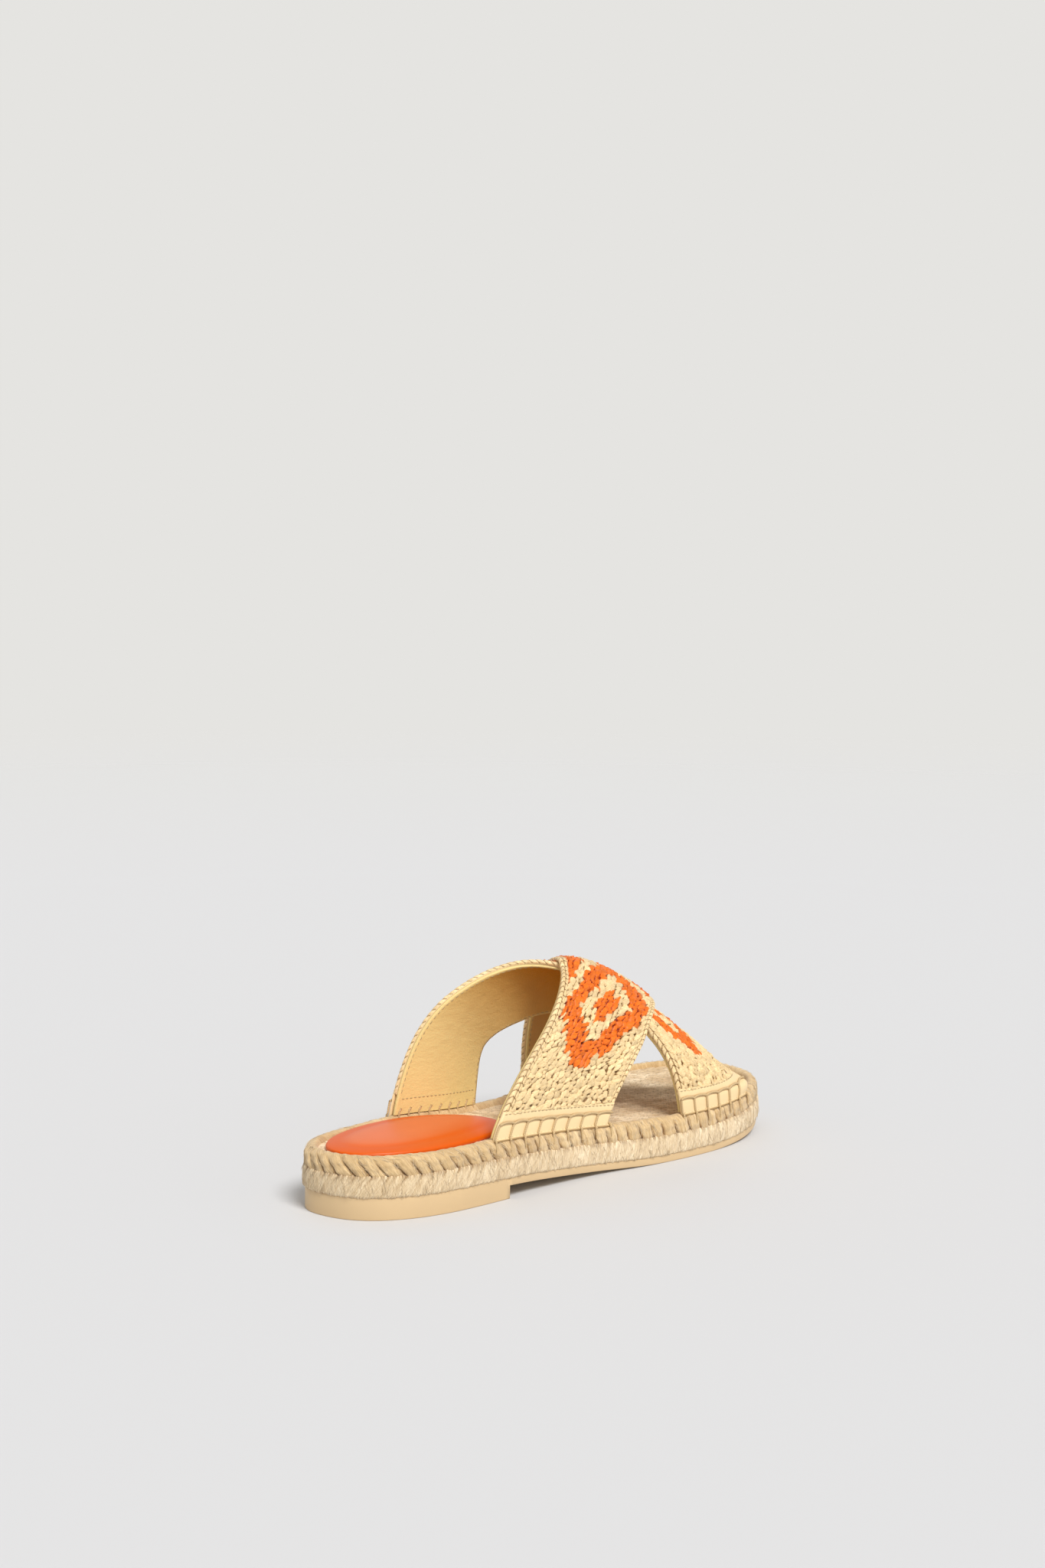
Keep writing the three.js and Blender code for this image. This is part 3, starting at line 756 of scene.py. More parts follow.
def make_rubber_outsole(colours):
    """Sheet with a heel block: the underside is the sole's height ahead of the block's upright front
    and the floor behind it, and the sides are straight with small rounded edges."""
    step = np.arccos((HALF - HEEL_BLOCK_LENGTH) / HALF)
    side = np.concatenate([np.linspace(0, step, 61), np.linspace(step, np.pi, 181)])
    angle = np.concatenate([side, -side[-2:0:-1]])
    lowered = np.concatenate([np.ones(61), np.zeros(181)])
    on_block = np.concatenate([lowered, lowered[-2:0:-1]])
    turn = np.linspace(0, np.pi / 2, 4)
    insets = RUBBER_EDGE * (1 - np.concatenate([np.sin(turn), np.sin(turn[::-1])]))
    rises = RUBBER_EDGE * np.concatenate([1 - np.cos(turn), np.cos(turn[::-1]) - 1])
    rings = []
    for k, (inset, rise) in enumerate(zip(insets, rises)):
        place = inset_outline(angle, np.full(angle.shape, RUBBER_INSET + inset))
        bottom = sole_height(place[:, 0]) * (1 - on_block)
        top = sole_height(place[:, 0]) + RUBBER_THICKNESS
        z = bottom + rise if k < len(turn) else top + rise
        rings.append(np.concatenate([place, z[:, None]], axis=-1))
    faces = capped_rings(len(rings), len(angle))
    new_piece("rubber_outsole", np.stack(rings), faces, rubber_finish(colours), ["outsole"])


class RopeSection:
    """Section of a rope across the sole's edge, as insets and heights, carried round the outline."""

    def __init__(self, insets, heights):
        self.insets, self.heights = insets, heights
        steps = np.hypot(np.diff(insets), np.diff(heights))
        self.path = np.concatenate([[0], np.cumsum(steps)])
        self.side = -np.gradient(heights, self.path)
        self.lift = np.gradient(insets, self.path)

    def point(self, along, path, out):
        """The point at a length round the sole and a length up the section, moved outwards."""
        side, lift = (np.interp(path, self.path, part) for part in (self.side, self.lift))
        inset = np.interp(path, self.path, self.insets) + out * side
        height = np.interp(path, self.path, self.heights) + out * lift
        return on_sole(inset_outline(angle_at_length(along), inset), height)


def sampled(table, count):
    return smooth_through(table, np.linspace(0, len(table) - 1, count))


ROW_CURVE = sampled(ROW_SECTION, ROW_SAMPLES)
ROW = RopeSection(np.append(ROW_CURVE[:, 1], [6, 6]),
                  ROW_BOTTOM + np.append(ROW_CURVE[:, 0], [1, 0]) * (ROW_TOP + GAP - ROW_BOTTOM))
BRAID_CURVE = sampled(BRAID_SECTION, BRAID_SAMPLES)
BRAID = RopeSection(np.append(BRAID_CURVE[:, 1], [1, 1]) * RIM_WIDTH + 0.2,
                    FOOTBED_BOTTOM - GAP + np.append(BRAID_CURVE[:, 0], [0.35, 0]) * (BRAID_HEIGHT + GAP))
BRAID_TAKES = np.append(BRAID_CURVE[:, 2], [0, 0])


def heel_share(along):
    """1 at the heel's tip and 0 at the toe's, as a cosine of the length round the sole."""
    return 0.5 + 0.5 * np.cos(TAU * along / ROUND_LENGTH)


def wrap_lean(along):
    """How far a wrap moves along for each millimetre that it falls."""
    return WRAP_LEAN_SIDE + WRAP_LEAN_HEEL * heel_share(along) ** 3


def ripple(along, count, phase=0):
    """A sine with a whole count of waves round the sole."""
    return np.sin(TAU * count * along / ROUND_LENGTH + phase)


def wrap_count(sizes):
    return round(ROUND_LENGTH / (sizes.wrap_pitch / MM))


def wrap_phase(along, shift, sizes):
    """Number of the wrap at a length round the sole: even steps with a slow wander."""
    wander = 0.9 * ripple(along, 11) + 0.5 * ripple(along, 23)
    return (along - shift + wander) * wrap_count(sizes) / ROUND_LENGTH


def make_jute_row(sizes, colours):
    """Rope laid round the sole: the section carried along the outline, cut into fine leaning strands
    whose height is a root of a sine across each strand, with slanted creases under the braid's wraps;
    painted shade darkens the hollows between strands, the creases, some strands' tops under the braid, and
    the heel."""
    count = round(ROUND_LENGTH / (sizes.strand_pitch / MM))
    columns = count * POINTS_PER_STRAND
    along = np.arange(columns)[None] * ROUND_LENGTH / columns
    path = ROW.path[:, None]
    front = (np.arange(len(ROW.path)) < ROW_SAMPLES)[:, None] * 1.0
    rise = np.clip((ROW.heights[:, None] - ROW_BOTTOM) / JUTE_ROW_HEIGHT, 0, 1)
    depth = JUTE_ROW_HEIGHT * (1 - rise)
    heel = heel_share(along)
    wander = 0.25 * ripple(along, 61) * np.sin(TAU * 3 * rise)
    phase = (along + (0.15 + 0.5 * heel ** 2) * depth + wander) * count / ROUND_LENGTH
    strand = np.mod(np.floor(phase), count)
    swell = np.sin(np.pi * (phase - np.floor(phase))) ** 0.6
    size = 0.45 + 0.75 * scatter(strand, 3)
    creases = wrap_phase(along, wrap_lean(along) * BRAID_HEIGHT - 0.9 * depth, sizes)
    near = np.abs(creases - np.round(creases)) * sizes.wrap_pitch / MM
    bold = 0.25 + 0.75 * smoothstep(0.55, 0.85, heel)
    crease = np.exp(-(near / 0.42) ** 2) * smoothstep(0.42, 0.95, rise) * bold
    tuft = 0.2 * (scatter(strand, 9) - 0.5) * smoothstep(0.35, 0, rise)
    lump = 0.07 * ripple(along, 37, 5 * rise) * ripple(along, 89)
    out = front * (0.42 * swell * size + tuft + lump - 0.55 * crease) - 0.1
    points = ROW.point(along, path, out)
    points[..., 2] -= front * smoothstep(0.12, 0, rise) * (0.2 * scatter(strand, 5) - 0.05)
    # Tone differs at random from strand to strand, and painted shade darkens it by up to a tenth towards
    # the heel's tip
    tone = (0.86 + 0.24 * scatter(strand, 7)) * (1 - 0.1 * heel ** 3)
    # Painted shade between the strands, in the creases, and on some strands' tops under the braid
    painted_shade_under_braid = 0.45 * smoothstep(0.8, 1.0, rise) * (scatter(strand, 12) > 0.4)
    gap = np.clip(0.5 - swell, 0, 1) * front + painted_shade_under_braid + 0.7 * crease
    uv = np.stack(np.broadcast_arrays(phase, rise * JUTE_ROW_HEIGHT), axis=-1)
    faces = [grid_faces(len(ROW.path), columns, close_rows=True, close_columns=True)]
    material = jute_finish("Pale jute strands", colours.pale_jute, (2.2, 0.35, 1), 0.06, 0.12)
    new_piece("jute_rope_row", points, faces, material, ["jute_row"],
              {"tone": tone, "gap": np.clip(gap, 0, 0.9)}, uv)


def make_jute_braid(sizes, colours):
    """Braid round the footbed: the closed section carried along the outline, with leaning wraps whose
    swell is a root of a sine across each wrap, slits between their lower ends darkened with painted shade,
    fine fibres along them, brown knots at some of the slits, painted shade along the bottom and a lumpy,
    felted rim."""
    path = BRAID.path[:, None]
    takes = BRAID_TAKES[:, None]
    count = wrap_count(sizes)
    columns = count * POINTS_PER_WRAP
    along = np.arange(columns)[None] * ROUND_LENGTH / columns
    heel = heel_share(along)
    phase = wrap_phase(along, wrap_lean(along) * (BRAID_HEIGHT - path), sizes)
    wrap = np.mod(np.floor(phase), count)
    part = phase - np.floor(phase)
    near = np.minimum(part, 1 - part) * sizes.wrap_pitch / MM
    border = np.mod(np.round(phase), count)
    bold = smoothstep(9.5, 4.5, path) * (0.35 + 0.65 * smoothstep(0.02, 0.2, heel))
    size = 0.7 + 0.5 * scatter(wrap, 1)
    swell = np.sin(np.pi * part) ** 0.5 * size
    fibres = scatter(np.floor(part * 9), wrap, 2) - 0.5
    slit = np.exp(-(near / 0.34) ** 2) * smoothstep(7.5, 3.0, path) * (0.45 + 0.55 * scatter(border, 5))
    knot = np.exp(-(near / 1.1) ** 2 - ((path - 1.1) / 1.0) ** 2) * (scatter(border, 8) > 0.5)
    lumps = ripple(along, 47, 1.1 * path) * ripple(along, 73, -0.7 * path)
    raised = sizes.wrap_depth / MM * bold * (swell - 0.45)
    out = takes * (raised + 0.24 * fibres + 0.3 * lumps - 0.9 * slit + 0.45 * knot)
    points = BRAID.point(along, path, out)
    points[..., 2] -= takes * smoothstep(2.5, 0.0, path) * (1.1 * np.sin(np.pi * part) ** 0.6 * size - 0.45)
    # Tone differs at random from wrap to wrap and along its fibres, and painted shade darkens it by up to 8
    # percent towards the heel's tip
    tone = (0.84 + 0.2 * scatter(wrap, 6) + 0.16 * fibres) * (1 - 0.08 * heel ** 3)
    # Painted shade in the slits and along the bottom where the braid meets the row; the knots are brown
    gap = takes * 1.7 * slit * bold + 0.9 * knot * (0.4 + scatter(np.floor(part * 11), wrap))
    gap = gap + 0.35 * smoothstep(1.2, 0.0, path)
    uv = np.stack(np.broadcast_arrays(phase * sizes.wrap_pitch / MM, path), axis=-1)
    faces = [grid_faces(len(BRAID.path), columns, close_rows=True, close_columns=True)]
    material = jute_finish("Braided jute", colours.jute, (2.6, 0.28, 1))
    new_piece("jute_rim_braid", points, faces, material, ["jute_braid"],
              {"tone": tone, "gap": np.clip(gap, 0, 0.95)}, uv)


def hairs(section, count, low, high, lean, reach, seed):
    """Stray fibres over a rope: thin threads that start on it, run roughly along its strands for their
    length and bow outwards as a sine, with one end lifted."""
    k = np.arange(count)
    pick = [scatter(k, seed + n)[:, None] for n in range(7)]
    steps = np.linspace(0, 1, 7)[None]
    start = pick[0] * ROUND_LENGTH
    length = 2.0 + 5.0 * pick[1]
    slant = np.arctan(lean(start)) + 1.5 * (pick[2] - 0.5)
    bend = (pick[3] - 0.5) * 0.7 * steps ** 2
    along = start + length * (np.sin(slant) * steps + np.cos(slant) * bend * 0.5)
    path = low + (high - low) * pick[4] - length * (np.cos(slant) * steps - np.sin(slant) * bend * 0.5)
    path = np.clip(path, 0.2, 10.5)
    out = 0.15 + reach * pick[5] * np.sin(np.pi * steps * 0.7) + reach * 1.3 * pick[6] ** 2 * steps ** 2
    points = section.point(along, path, out)
    ways = unit(section.point(along, path, out + 0.5) - points)
    return round_cords(points, ways, HAIR_RADIUS * (1 - 0.6 * steps ** 2), sides=3)


def make_stray_fibres(colours):
    """Loose jute fibres that stand off the braid and the lower row."""
    points, faces, uv = joined([
        hairs(BRAID, 1100, 2.0, 9.5, wrap_lean, 0.5, 20),
        hairs(ROW, 600, 2.0, 9.0, lambda along: 0 * along, 0.45, 40)])
    fibre = cord_finish("Stray jute fibre", colours.pale_jute, 1.0)
    new_piece("stray_jute_fibres", points, faces, fibre, [], None, uv)


def make_footbed(colours):
    """Woven insole: rows of points across the sole, raised by a plain weave of short floats that is
    the product of two sines, turned to run across the sole, with painted shade between the floats."""
    side = np.arccos(1 - 2 * np.linspace(0.0008, 0.9992, FOOTBED_GRID[0]))
    share = np.linspace(0, 1, FOOTBED_GRID[1])
    near = inset_outline(side, np.full(side.shape, RIM_WIDTH - 0.6))
    far = inset_outline(-side, np.full(side.shape, RIM_WIDTH - 0.6))
    place = near[:, None] + (far - near)[:, None] * share[:, None]
    turned = np.radians(WEAVE_TURN)
    weft = place[..., 0] * np.cos(turned) + place[..., 1] * np.sin(turned)
    warp = -place[..., 0] * np.sin(turned) + place[..., 1] * np.cos(turned)
    row = np.floor(warp / WEAVE_PITCH)
    float_part = weft / WEAVE_FLOAT + 0.5 * np.mod(row, 2) + 0.3 * scatter(row, 1)
    over = np.sin(np.pi * np.mod(float_part, 1)) ** 0.5
    ridge = np.abs(np.sin(np.pi * warp / WEAVE_PITCH)) ** 0.6
    height = WEAVE_RELIEF * over * ridge * (0.7 + 0.5 * scatter(row, np.floor(float_part)))
    top = on_sole(place, FOOTBED_TOP - 0.15 + height)
    tone = 0.82 + 0.32 * scatter(row, np.floor(float_part), 2)
    # Painted shade in the hollows between the floats
    gap = np.clip(0.5 - over * ridge, 0, 1) * 1.4
    rows, columns = top.shape[:2]
    bottom = on_sole(place[:, [0, -1]], np.full((rows, 2), FOOTBED_BOTTOM))
    points = np.concatenate([top.reshape(-1, 3), bottom.reshape(-1, 3)])
    first = rows * columns
    r = np.arange(rows - 1)
    left, right = r * columns, r * columns + columns - 1
    low_left, low_right = first + 2 * r, first + 2 * r + 1
    walls = np.stack([left, low_left, low_left + 2, left + columns], axis=-1)
    other = np.stack([right, right + columns, low_right + 2, low_right], axis=-1)
    under = np.stack([low_left, low_right, low_right + 2, low_left + 2], axis=-1)
    heel_low = np.array([first, first + 1])
    toe_low = heel_low + 2 * (rows - 1)
    heel_end = zip_faces(np.arange(columns), heel_low)
    toe_end = zip_faces(np.arange(columns) + (rows - 1) * columns, toe_low)[:, ::-1]
    sheet = [grid_faces(rows, columns), walls, other, under]
    faces = [group[:, ::-1] for group in sheet] + [heel_end, toe_end]
    flat = np.zeros(rows * 2)
    uv = np.concatenate([np.stack([warp, weft], -1).reshape(-1, 2), np.zeros((rows * 2, 2))])
    values = {"tone": np.concatenate([tone.ravel(), flat + 1]),
              "gap": np.concatenate([gap.ravel(), flat])}
    material = jute_finish("Woven jute", colours.footbed, (2.0, 0.22, 1), 0.3, 0.5)
    new_piece("woven_footbed", points, faces, material, ["footbed"], values, uv)


def make_heel_cushion(colours):
    """Oval cushion: rings shrink inwards over a rolled edge, a flat bevel and a soft crowned middle, with
    painted shade on the rim and towards the lateral side and the toe.
    """
    rings, around = CUSHION_GRID
    section = sampled(CUSHION_SECTION, rings)
    angle = TAU * np.arange(around) / around
    middle = -HALF + CUSHION_SETBACK + CUSHION_LENGTH / 2
    half_long, half_wide = CUSHION_LENGTH / 2, CUSHION_WIDTH / 2
    shrink, rise = section[:, :1], section[:, 1:]
    x = middle - (half_long - shrink) * np.cos(angle)
    y = CUSHION_SHIFT - (half_wide - shrink) * np.sin(angle)
    points = on_sole(np.stack([x, y], axis=-1), FOOTBED_TOP + 0.1 + rise)
    material = leather_finish("Glossy orange leather", colours.cushion, 0.42, 0.05, 0.08,
                              CUSHION_PAINTED_SHADE)
    # Painted shade: deeper, more saturated orange round the rim and towards the lateral side and the toe,
    # where the sheen falls off
    aside = (x - middle) / half_long * 0.5 - (y - CUSHION_SHIFT) / half_wide
    burnish = np.clip(smoothstep(12.0, 5.0, shrink) + smoothstep(0.1, 1.0, aside), 0, 1)
    piece = new_piece("heel_cushion", points, capped_rings(*x.shape), material,
                      ["heel_pad"], {"burnish": burnish})


def motif(row, stitch, count, start):
    """Chart of the dyed stitches: a stepped diamond ring across the strap with a small filled core,
    one over the other, with filled corners between them, beginning at a row."""
    turn = np.abs(np.mod(row - start, MOTIF_ROWS) - MOTIF_ROWS / 2)
    reach = 0.85 * turn + np.abs(stitch + 0.5 - count / 2) * MOTIF_WIDTH / count
    dyed = (reach < 1.8) | ((reach > 3.7) & (reach < 6.7)) | ((reach > 9.0) & (row > start + 5))
    return dyed & (row >= start)


def facets(row_place, across):
    """The crochet's legs: cells nearest to slightly scattered centres, two to a stitch, whose long ways
    lean to each other so that each pair makes a V with its tip to the rear edge. Gives the cell's row,
    stitch and leg, the distances from its centre along and across the leg, how far the next two cells
    are, and a number for the border to the next."""
    distances, labels = [], []
    for row_step in (-1, 0, 1):
        for stitch_step in (-2, -1, 0, 1):
            for leg in (0, 1):
                row = np.floor(row_place) + row_step
                stitch = np.floor(across) + stitch_step
                shake = [0.3 * (scatter(row, stitch, leg + n) - 0.5) for n in (10, 20)]
                away = row_place - row - 0.25 - 0.5 * leg - shake[0]
                aside = across - stitch - 0.5 - shake[1] - 0.35 * scatter(row, 77)
                lean = (0.62 + 0.4 * (scatter(row, stitch, leg + 31) - 0.5)) * (1 - 2 * leg)
                long_way = aside * np.cos(lean) - away * np.sin(lean)
                short_way = aside * np.sin(lean) + away * np.cos(lean)
                distances.append(np.hypot(long_way / 1.1, short_way * 1.1))
                labels.append(np.stack([row, stitch, np.full_like(row, leg), long_way, short_way]))
    distances, labels = np.stack(distances), np.stack(labels)
    order = np.argsort(distances, axis=0)[:3]
    first, second, third = (np.take_along_axis(distances, order[n:n + 1], 0)[0] for n in range(3))
    own, other = (np.take_along_axis(labels, order[n:n + 1, None], 0)[0] for n in range(2))
    border = scatter(own[0] + other[0], own[1] + other[1], own[2] + other[2])
    return own, second - first, third - first, border


def crochet(strap, sizes, start, end):
    """Height, tone, painted gap shade and dye of a strap's face: tilted, lightly crowned facets, with short
    sunk slits where three of them meet, and a narrow chain along both edges; the slits, the gaps between
    links and the seam get painted shade."""
    rows = round(strap.length / (sizes.stitch_width / MM))
    along, width = np.meshgrid(
        np.linspace(0, 1, rows * CROCHET_ROW_POINTS + 1), np.linspace(0, 1, CROCHET_COLUMNS),
        indexing="ij")
    turn = strap.turn_at(along, width)
    middle = strap.middle(turn, width)
    steps = np.zeros(along.shape)
    steps[:, 1:] = np.cumsum(np.linalg.norm(np.diff(middle, axis=1), axis=-1), axis=1)
    total = steps[:, -1:]
    from_edge = np.minimum(steps, total - steps)
    edge = sizes.edge_width / MM
    row_place = along * rows
    across = (steps - edge) / (total - 2 * edge) * sizes.stitch_count
    sway = 0.12 * np.sin(0.9 * row_place + 1.3 * across) + 0.10 * np.sin(2.3 * row_place - 0.8 * across)
    swing = 0.12 * np.sin(1.7 * row_place + 0.6 * across) + 0.12 * np.sin(0.6 * row_place - 2.1 * across)
    (row, stitch, leg, long_way, short_way), to_next, to_third, border = facets(
        row_place + sway, across + swing)
    slit = smoothstep(0.2, 0.03, to_next) * smoothstep(0.5, 0.15, to_third)
    slit = slit * smoothstep(0.3, 0.5, border)
    tilt = (long_way * (scatter(row, stitch, leg + 51) - 0.5)
            + short_way * (scatter(row, stitch, leg + 61) - 0.5))
    crown = 1 - np.clip(2.2 * np.abs(short_way), 0, 1) ** 3
    relief = sizes.stitch_relief / MM
    height = 0.15 + relief * (0.35 * crown - 0.14 * smoothstep(0.16, 0, to_next) - 0.7 * slit)
    height = height + 2.3 * tilt
    strip = edge * 0.5
    link = along * strap.length / CHAIN_SLIT_PITCH + 0.5 * from_edge / strip
    chain = np.abs(np.sin(np.pi * link)) ** 0.35
    bow = np.sqrt(np.clip(1 - (2 * (from_edge - strip) / strip - 1) ** 2, 0, 1))
    on_edge = from_edge < edge
    height = np.where(on_edge, -0.15 + 0.5 * bow + 0.35 * (chain - 1), height)
    fade = smoothstep(0, 0.8, along * strap.length) * smoothstep(0, 0.8, (1 - along) * strap.length)
    tone = np.where(on_edge, 0.95, 0.79 + 0.30 * scatter(row, stitch, leg + 5))
    # Painted shade in the seam groove between the chain and the sewn strip, in the gaps between links, and
    # in the slits
    seam = 0.7 * np.exp(-((from_edge - strip) / 0.35) ** 2)
    gap = np.where(on_edge, np.clip(0.75 - chain, 0, 1) * 2.4 + seam, slit)
    dyed = motif(row + leg / 2, stitch, sizes.stitch_count, start) & (row < end) & ~on_edge
    return turn, width, height * fade, np.stack([tone, np.clip(gap, 0, 1), dyed * 1.0]), steps


def make_strap(name, strap, sizes, start, end, material, lining):
    """Crocheted layer of a strap as a closed sheet, then its edge chain and its leather lining."""
    turn, width, height, looks, steps = crochet(strap, sizes, start, end)
    outer = strap.point(turn, width, STRAP_WALL / 2 + height)
    inner_width = np.linspace(0, 1, 13)
    inner_turn = strap.turn_at(*np.meshgrid(np.linspace(0, 1, len(turn)), inner_width, indexing="ij"))
    inner = strap.point(inner_turn, np.broadcast_to(inner_width, inner_turn.shape),
                        np.full(inner_turn.shape, -0.45))
    rows, columns = turn.shape
    ring = np.concatenate([outer, inner[:, ::-1]], axis=1)
    around = ring.shape[1]
    ends = []
    for row, order in ((0, 1), (rows - 1, -1)):
        first = row * around + np.arange(columns)
        second = row * around + np.arange(around - 1, columns - 1, -1)
        ends.append(zip_faces(first, second)[:, ::order])
    faces = [grid_faces(rows, around, close_columns=True)[:, ::-1]] + [group[:, ::-1] for group in ends]
    pad = np.ones((rows, around - columns))
    # The inner face gets a plain tone and a little painted shade
    tone, gap, dyed = (np.concatenate([layer, pad * fill], axis=1)
                       for layer, fill in zip(looks, (0.9, 0.1, 0.0)))
    along = np.broadcast_to(np.linspace(0, strap.length, rows)[:, None], (rows, around))
    across = np.concatenate([steps, pad * 0], axis=1)
    uv = np.stack([along, across], axis=-1)
    new_piece(f"strap_{name}_raffia", ring, faces, material, ["upper"],
              {"tone": tone, "gap": gap, "dyed": dyed}, uv)
    make_edge_chain(name, strap, material)
    # The over strap's lining keeps more of its painted shade towards its medial foot
    make_lining(name, strap, lining, 1.3 if strap.below else 0.78)


def make_edge_chain(name, strap, material):
    """Crochet chain round both edges of a strap: a round cord cut by oblique slits, as the root of a
    sine of the length less the way round."""
    steps, sides = CHAIN_GRID
    along = np.linspace(0, 1, steps)
    parts, tones, gaps = [], [], []
    for side in (0, 1):
        turn = strap.turn_at(along, np.full(steps, float(side)))
        width = np.full(steps, abs(side - EDGE_CHAIN_INSET))
        path = strap.point(turn, width, np.full(steps, EDGE_CHAIN_OFFSET))
        around = np.abs(np.mod(TAU * np.arange(sides) / sides + np.pi / 2, TAU) - np.pi) / np.pi
        phase = along[:, None] * strap.length / EDGE_CHAIN_PITCH + 0.9 * around
        link = np.floor(phase)
        bulge = np.abs(np.sin(np.pi * phase)) ** 0.4
        radius = EDGE_CHAIN_RADIUS * (0.72 + 0.3 * bulge * (0.85 + 0.3 * scatter(link, side)))
        parts.append(round_cords(path[None], strap.normal(turn, width)[None], radius[None], sides))
        tones.append(0.86 + 0.22 * scatter(link, side, 4))
        # Painted shade in the slits between the links
        gaps.append(np.clip(0.80 - bulge, 0, 1) * 2.4)
    points, faces, uv = joined(parts)
    values = {"tone": np.stack(tones), "gap": np.clip(np.stack(gaps), 0, 0.9),
              "dyed": np.zeros(len(points))}
    new_piece(f"strap_{name}_edge_chain", points, faces, material, ["upper"],
              values, uv)


def make_lining(name, strap, material, fade_end):
    """Leather under the raffia from foot to foot: smooth, with shallow wrinkles as a product of
    slanted sines across the middle, edges rolled, and painted shade towards the strap's crown."""
    part, width = np.meshgrid(
        np.linspace(0, 1, LINING_GRID[0]), np.linspace(0.004, 0.996, LINING_GRID[1]), indexing="ij")
    turn = np.clip(0.5 - 0.5 * np.cos(np.pi * part), 0.0, 1.0)
    length = part * strap.length
    wrinkle = np.sin(0.9 * length + 2.5 * np.sin(9 * width)) * np.sin(0.35 * length + 14 * width)
    dip = 0.07 * wrinkle * smoothstep(0.15, 0.35, part) * smoothstep(0.85, 0.65, part)
    edge = np.minimum(width, 1 - width) * 60
    inner = strap.point(turn, width, INNER_FACE + dip + rolled(edge, 0.6, 0.45))
    outer = strap.point(turn, width, np.full(turn.shape, -0.4))
    points, faces = closed_sheet(inner, outer)
    # Painted shade: the lining darkens towards the strap's crown, where shade falls inside the straps,
    # fading at the edges
    crown = smoothstep(0.22, 0.5, part) * smoothstep(fade_end, 0.5, part) * smoothstep(0.5, 3.5, edge)
    burnish = np.concatenate([crown, 0 * crown], axis=1)
    new_piece(f"strap_{name}_lining", points, faces, material, ["upper"],
              {"burnish": burnish})


class Band:
    """Leather band round a strap's foot. Height runs from 0 at its lower edge on the braid to 1 at its
    top line, and width along it, a little past the strap's edges."""

    def __init__(self, name, strap, end):
        self.name, self.strap, self.end = name, strap, end
        self.side = 2 * end - 1
        self.grid = self.surface()
        self.normals = -self.side * grid_normals(self.grid)
        self.length = np.linalg.norm(np.diff(self.grid[BAND_ROWS // 2], axis=0), axis=-1).sum()

    def surface(self):
        """Smooth curves through two lines on the braid and three up the strap."""
        widths = BAND_COLUMNS
        width = np.linspace(-0.008, 1.012, widths)
        inside = np.clip(width, 0, 1)
        strap, end = self.strap, self.end
        low = BAND_LOW_INSET - BAND_FACE
        place = strap.middle(np.full(widths, float(end)), width)[:, 0]
        rows = []
        for inset, height in ((low, RIM_TOP - BAND_REACH),
                              ((low + STRAP_INSET - BAND_FACE) / 2, RIM_TOP + 0.1)):
            flat = inset_outline(side_angle(place, self.side), np.full(widths, inset))
            rows.append(on_sole(flat, np.full(widths, height)))
        for climb in (0.02, 0.5, 1.0):
            climbed = BAND_HEIGHT - GAP + BAND_TILT * (1 - inside)
            turn = strap.turn_at_height(end, inside, climbed * climb)
            rows.append(strap.point(turn, width, np.full(widths, BAND_FACE)))
        places = np.linspace(0, len(rows) - 1, 4 * BAND_ROWS)
        fine = smooth_through(np.stack(rows), places)
        steps = np.linalg.norm(np.diff(fine, axis=0), axis=-1).mean(axis=1)
        lengths = np.concatenate([[0], np.cumsum(steps)])
        even = np.interp(np.linspace(0, lengths[-1], BAND_ROWS), lengths, places)
        return smooth_through(np.stack(rows), even)

    def at(self, height, width, lift=0.0):
        """Points over the band's face, and the face's direction there."""
        row, column = height * (BAND_ROWS - 1), width * (BAND_COLUMNS - 1)
        normal = unit(between_samples(self.normals, row, column))
        return between_samples(self.grid, row, column) + normal * np.asarray(lift)[..., None], normal


def bay_count(band, sizes):
    """How many bays the upright hand stitches divide a band into."""
    return round(band.length / (sizes.cord_pitch / MM))


def cord_radius(sizes):
    return sizes.cord_diameter / MM / 2


def make_band(band, sizes, material):
    """The band's sheet: puffed between the upright stitches and pressed in along the cord, with rolled
    edges, and darker along its lower edge."""
    height, width = np.meshgrid(
        np.linspace(0, 1, BAND_ROWS), np.linspace(0, 1, BAND_COLUMNS), indexing="ij")
    bay = np.abs(np.sin(np.pi * width * bay_count(band, sizes))) ** 0.6
    below = smoothstep(CORD_LINE + 0.03, CORD_LINE - 0.1, height)
    puff = 0.28 * bay * below * np.sin(np.pi * np.clip(height / CORD_LINE, 0, 1)) ** 0.5
    groove = 0.3 * np.exp(-((height - CORD_LINE) / 0.05) ** 2)
    seam = 0.12 * np.exp(-((height - BAND_THREAD_LINES[0]) / 0.025) ** 2)
    edge = np.minimum(np.minimum(width, 1 - width) * band.length, np.minimum(height, 1 - height) * 12)
    outer = band.grid + band.normals * (puff - groove - seam - rolled(edge, 0.7, 0.5))[..., None]
    points, faces = closed_sheet(outer, band.grid - band.normals * 1.25)
    # Darker along the lower edge, where the band meets the braid
    burnish = np.concatenate([0.85 * smoothstep(0.09, 0.02, height)] * 2, axis=1)
    new_piece(f"leather_{band.name}", points, faces, material, [band.name],
              {"burnish": burnish})


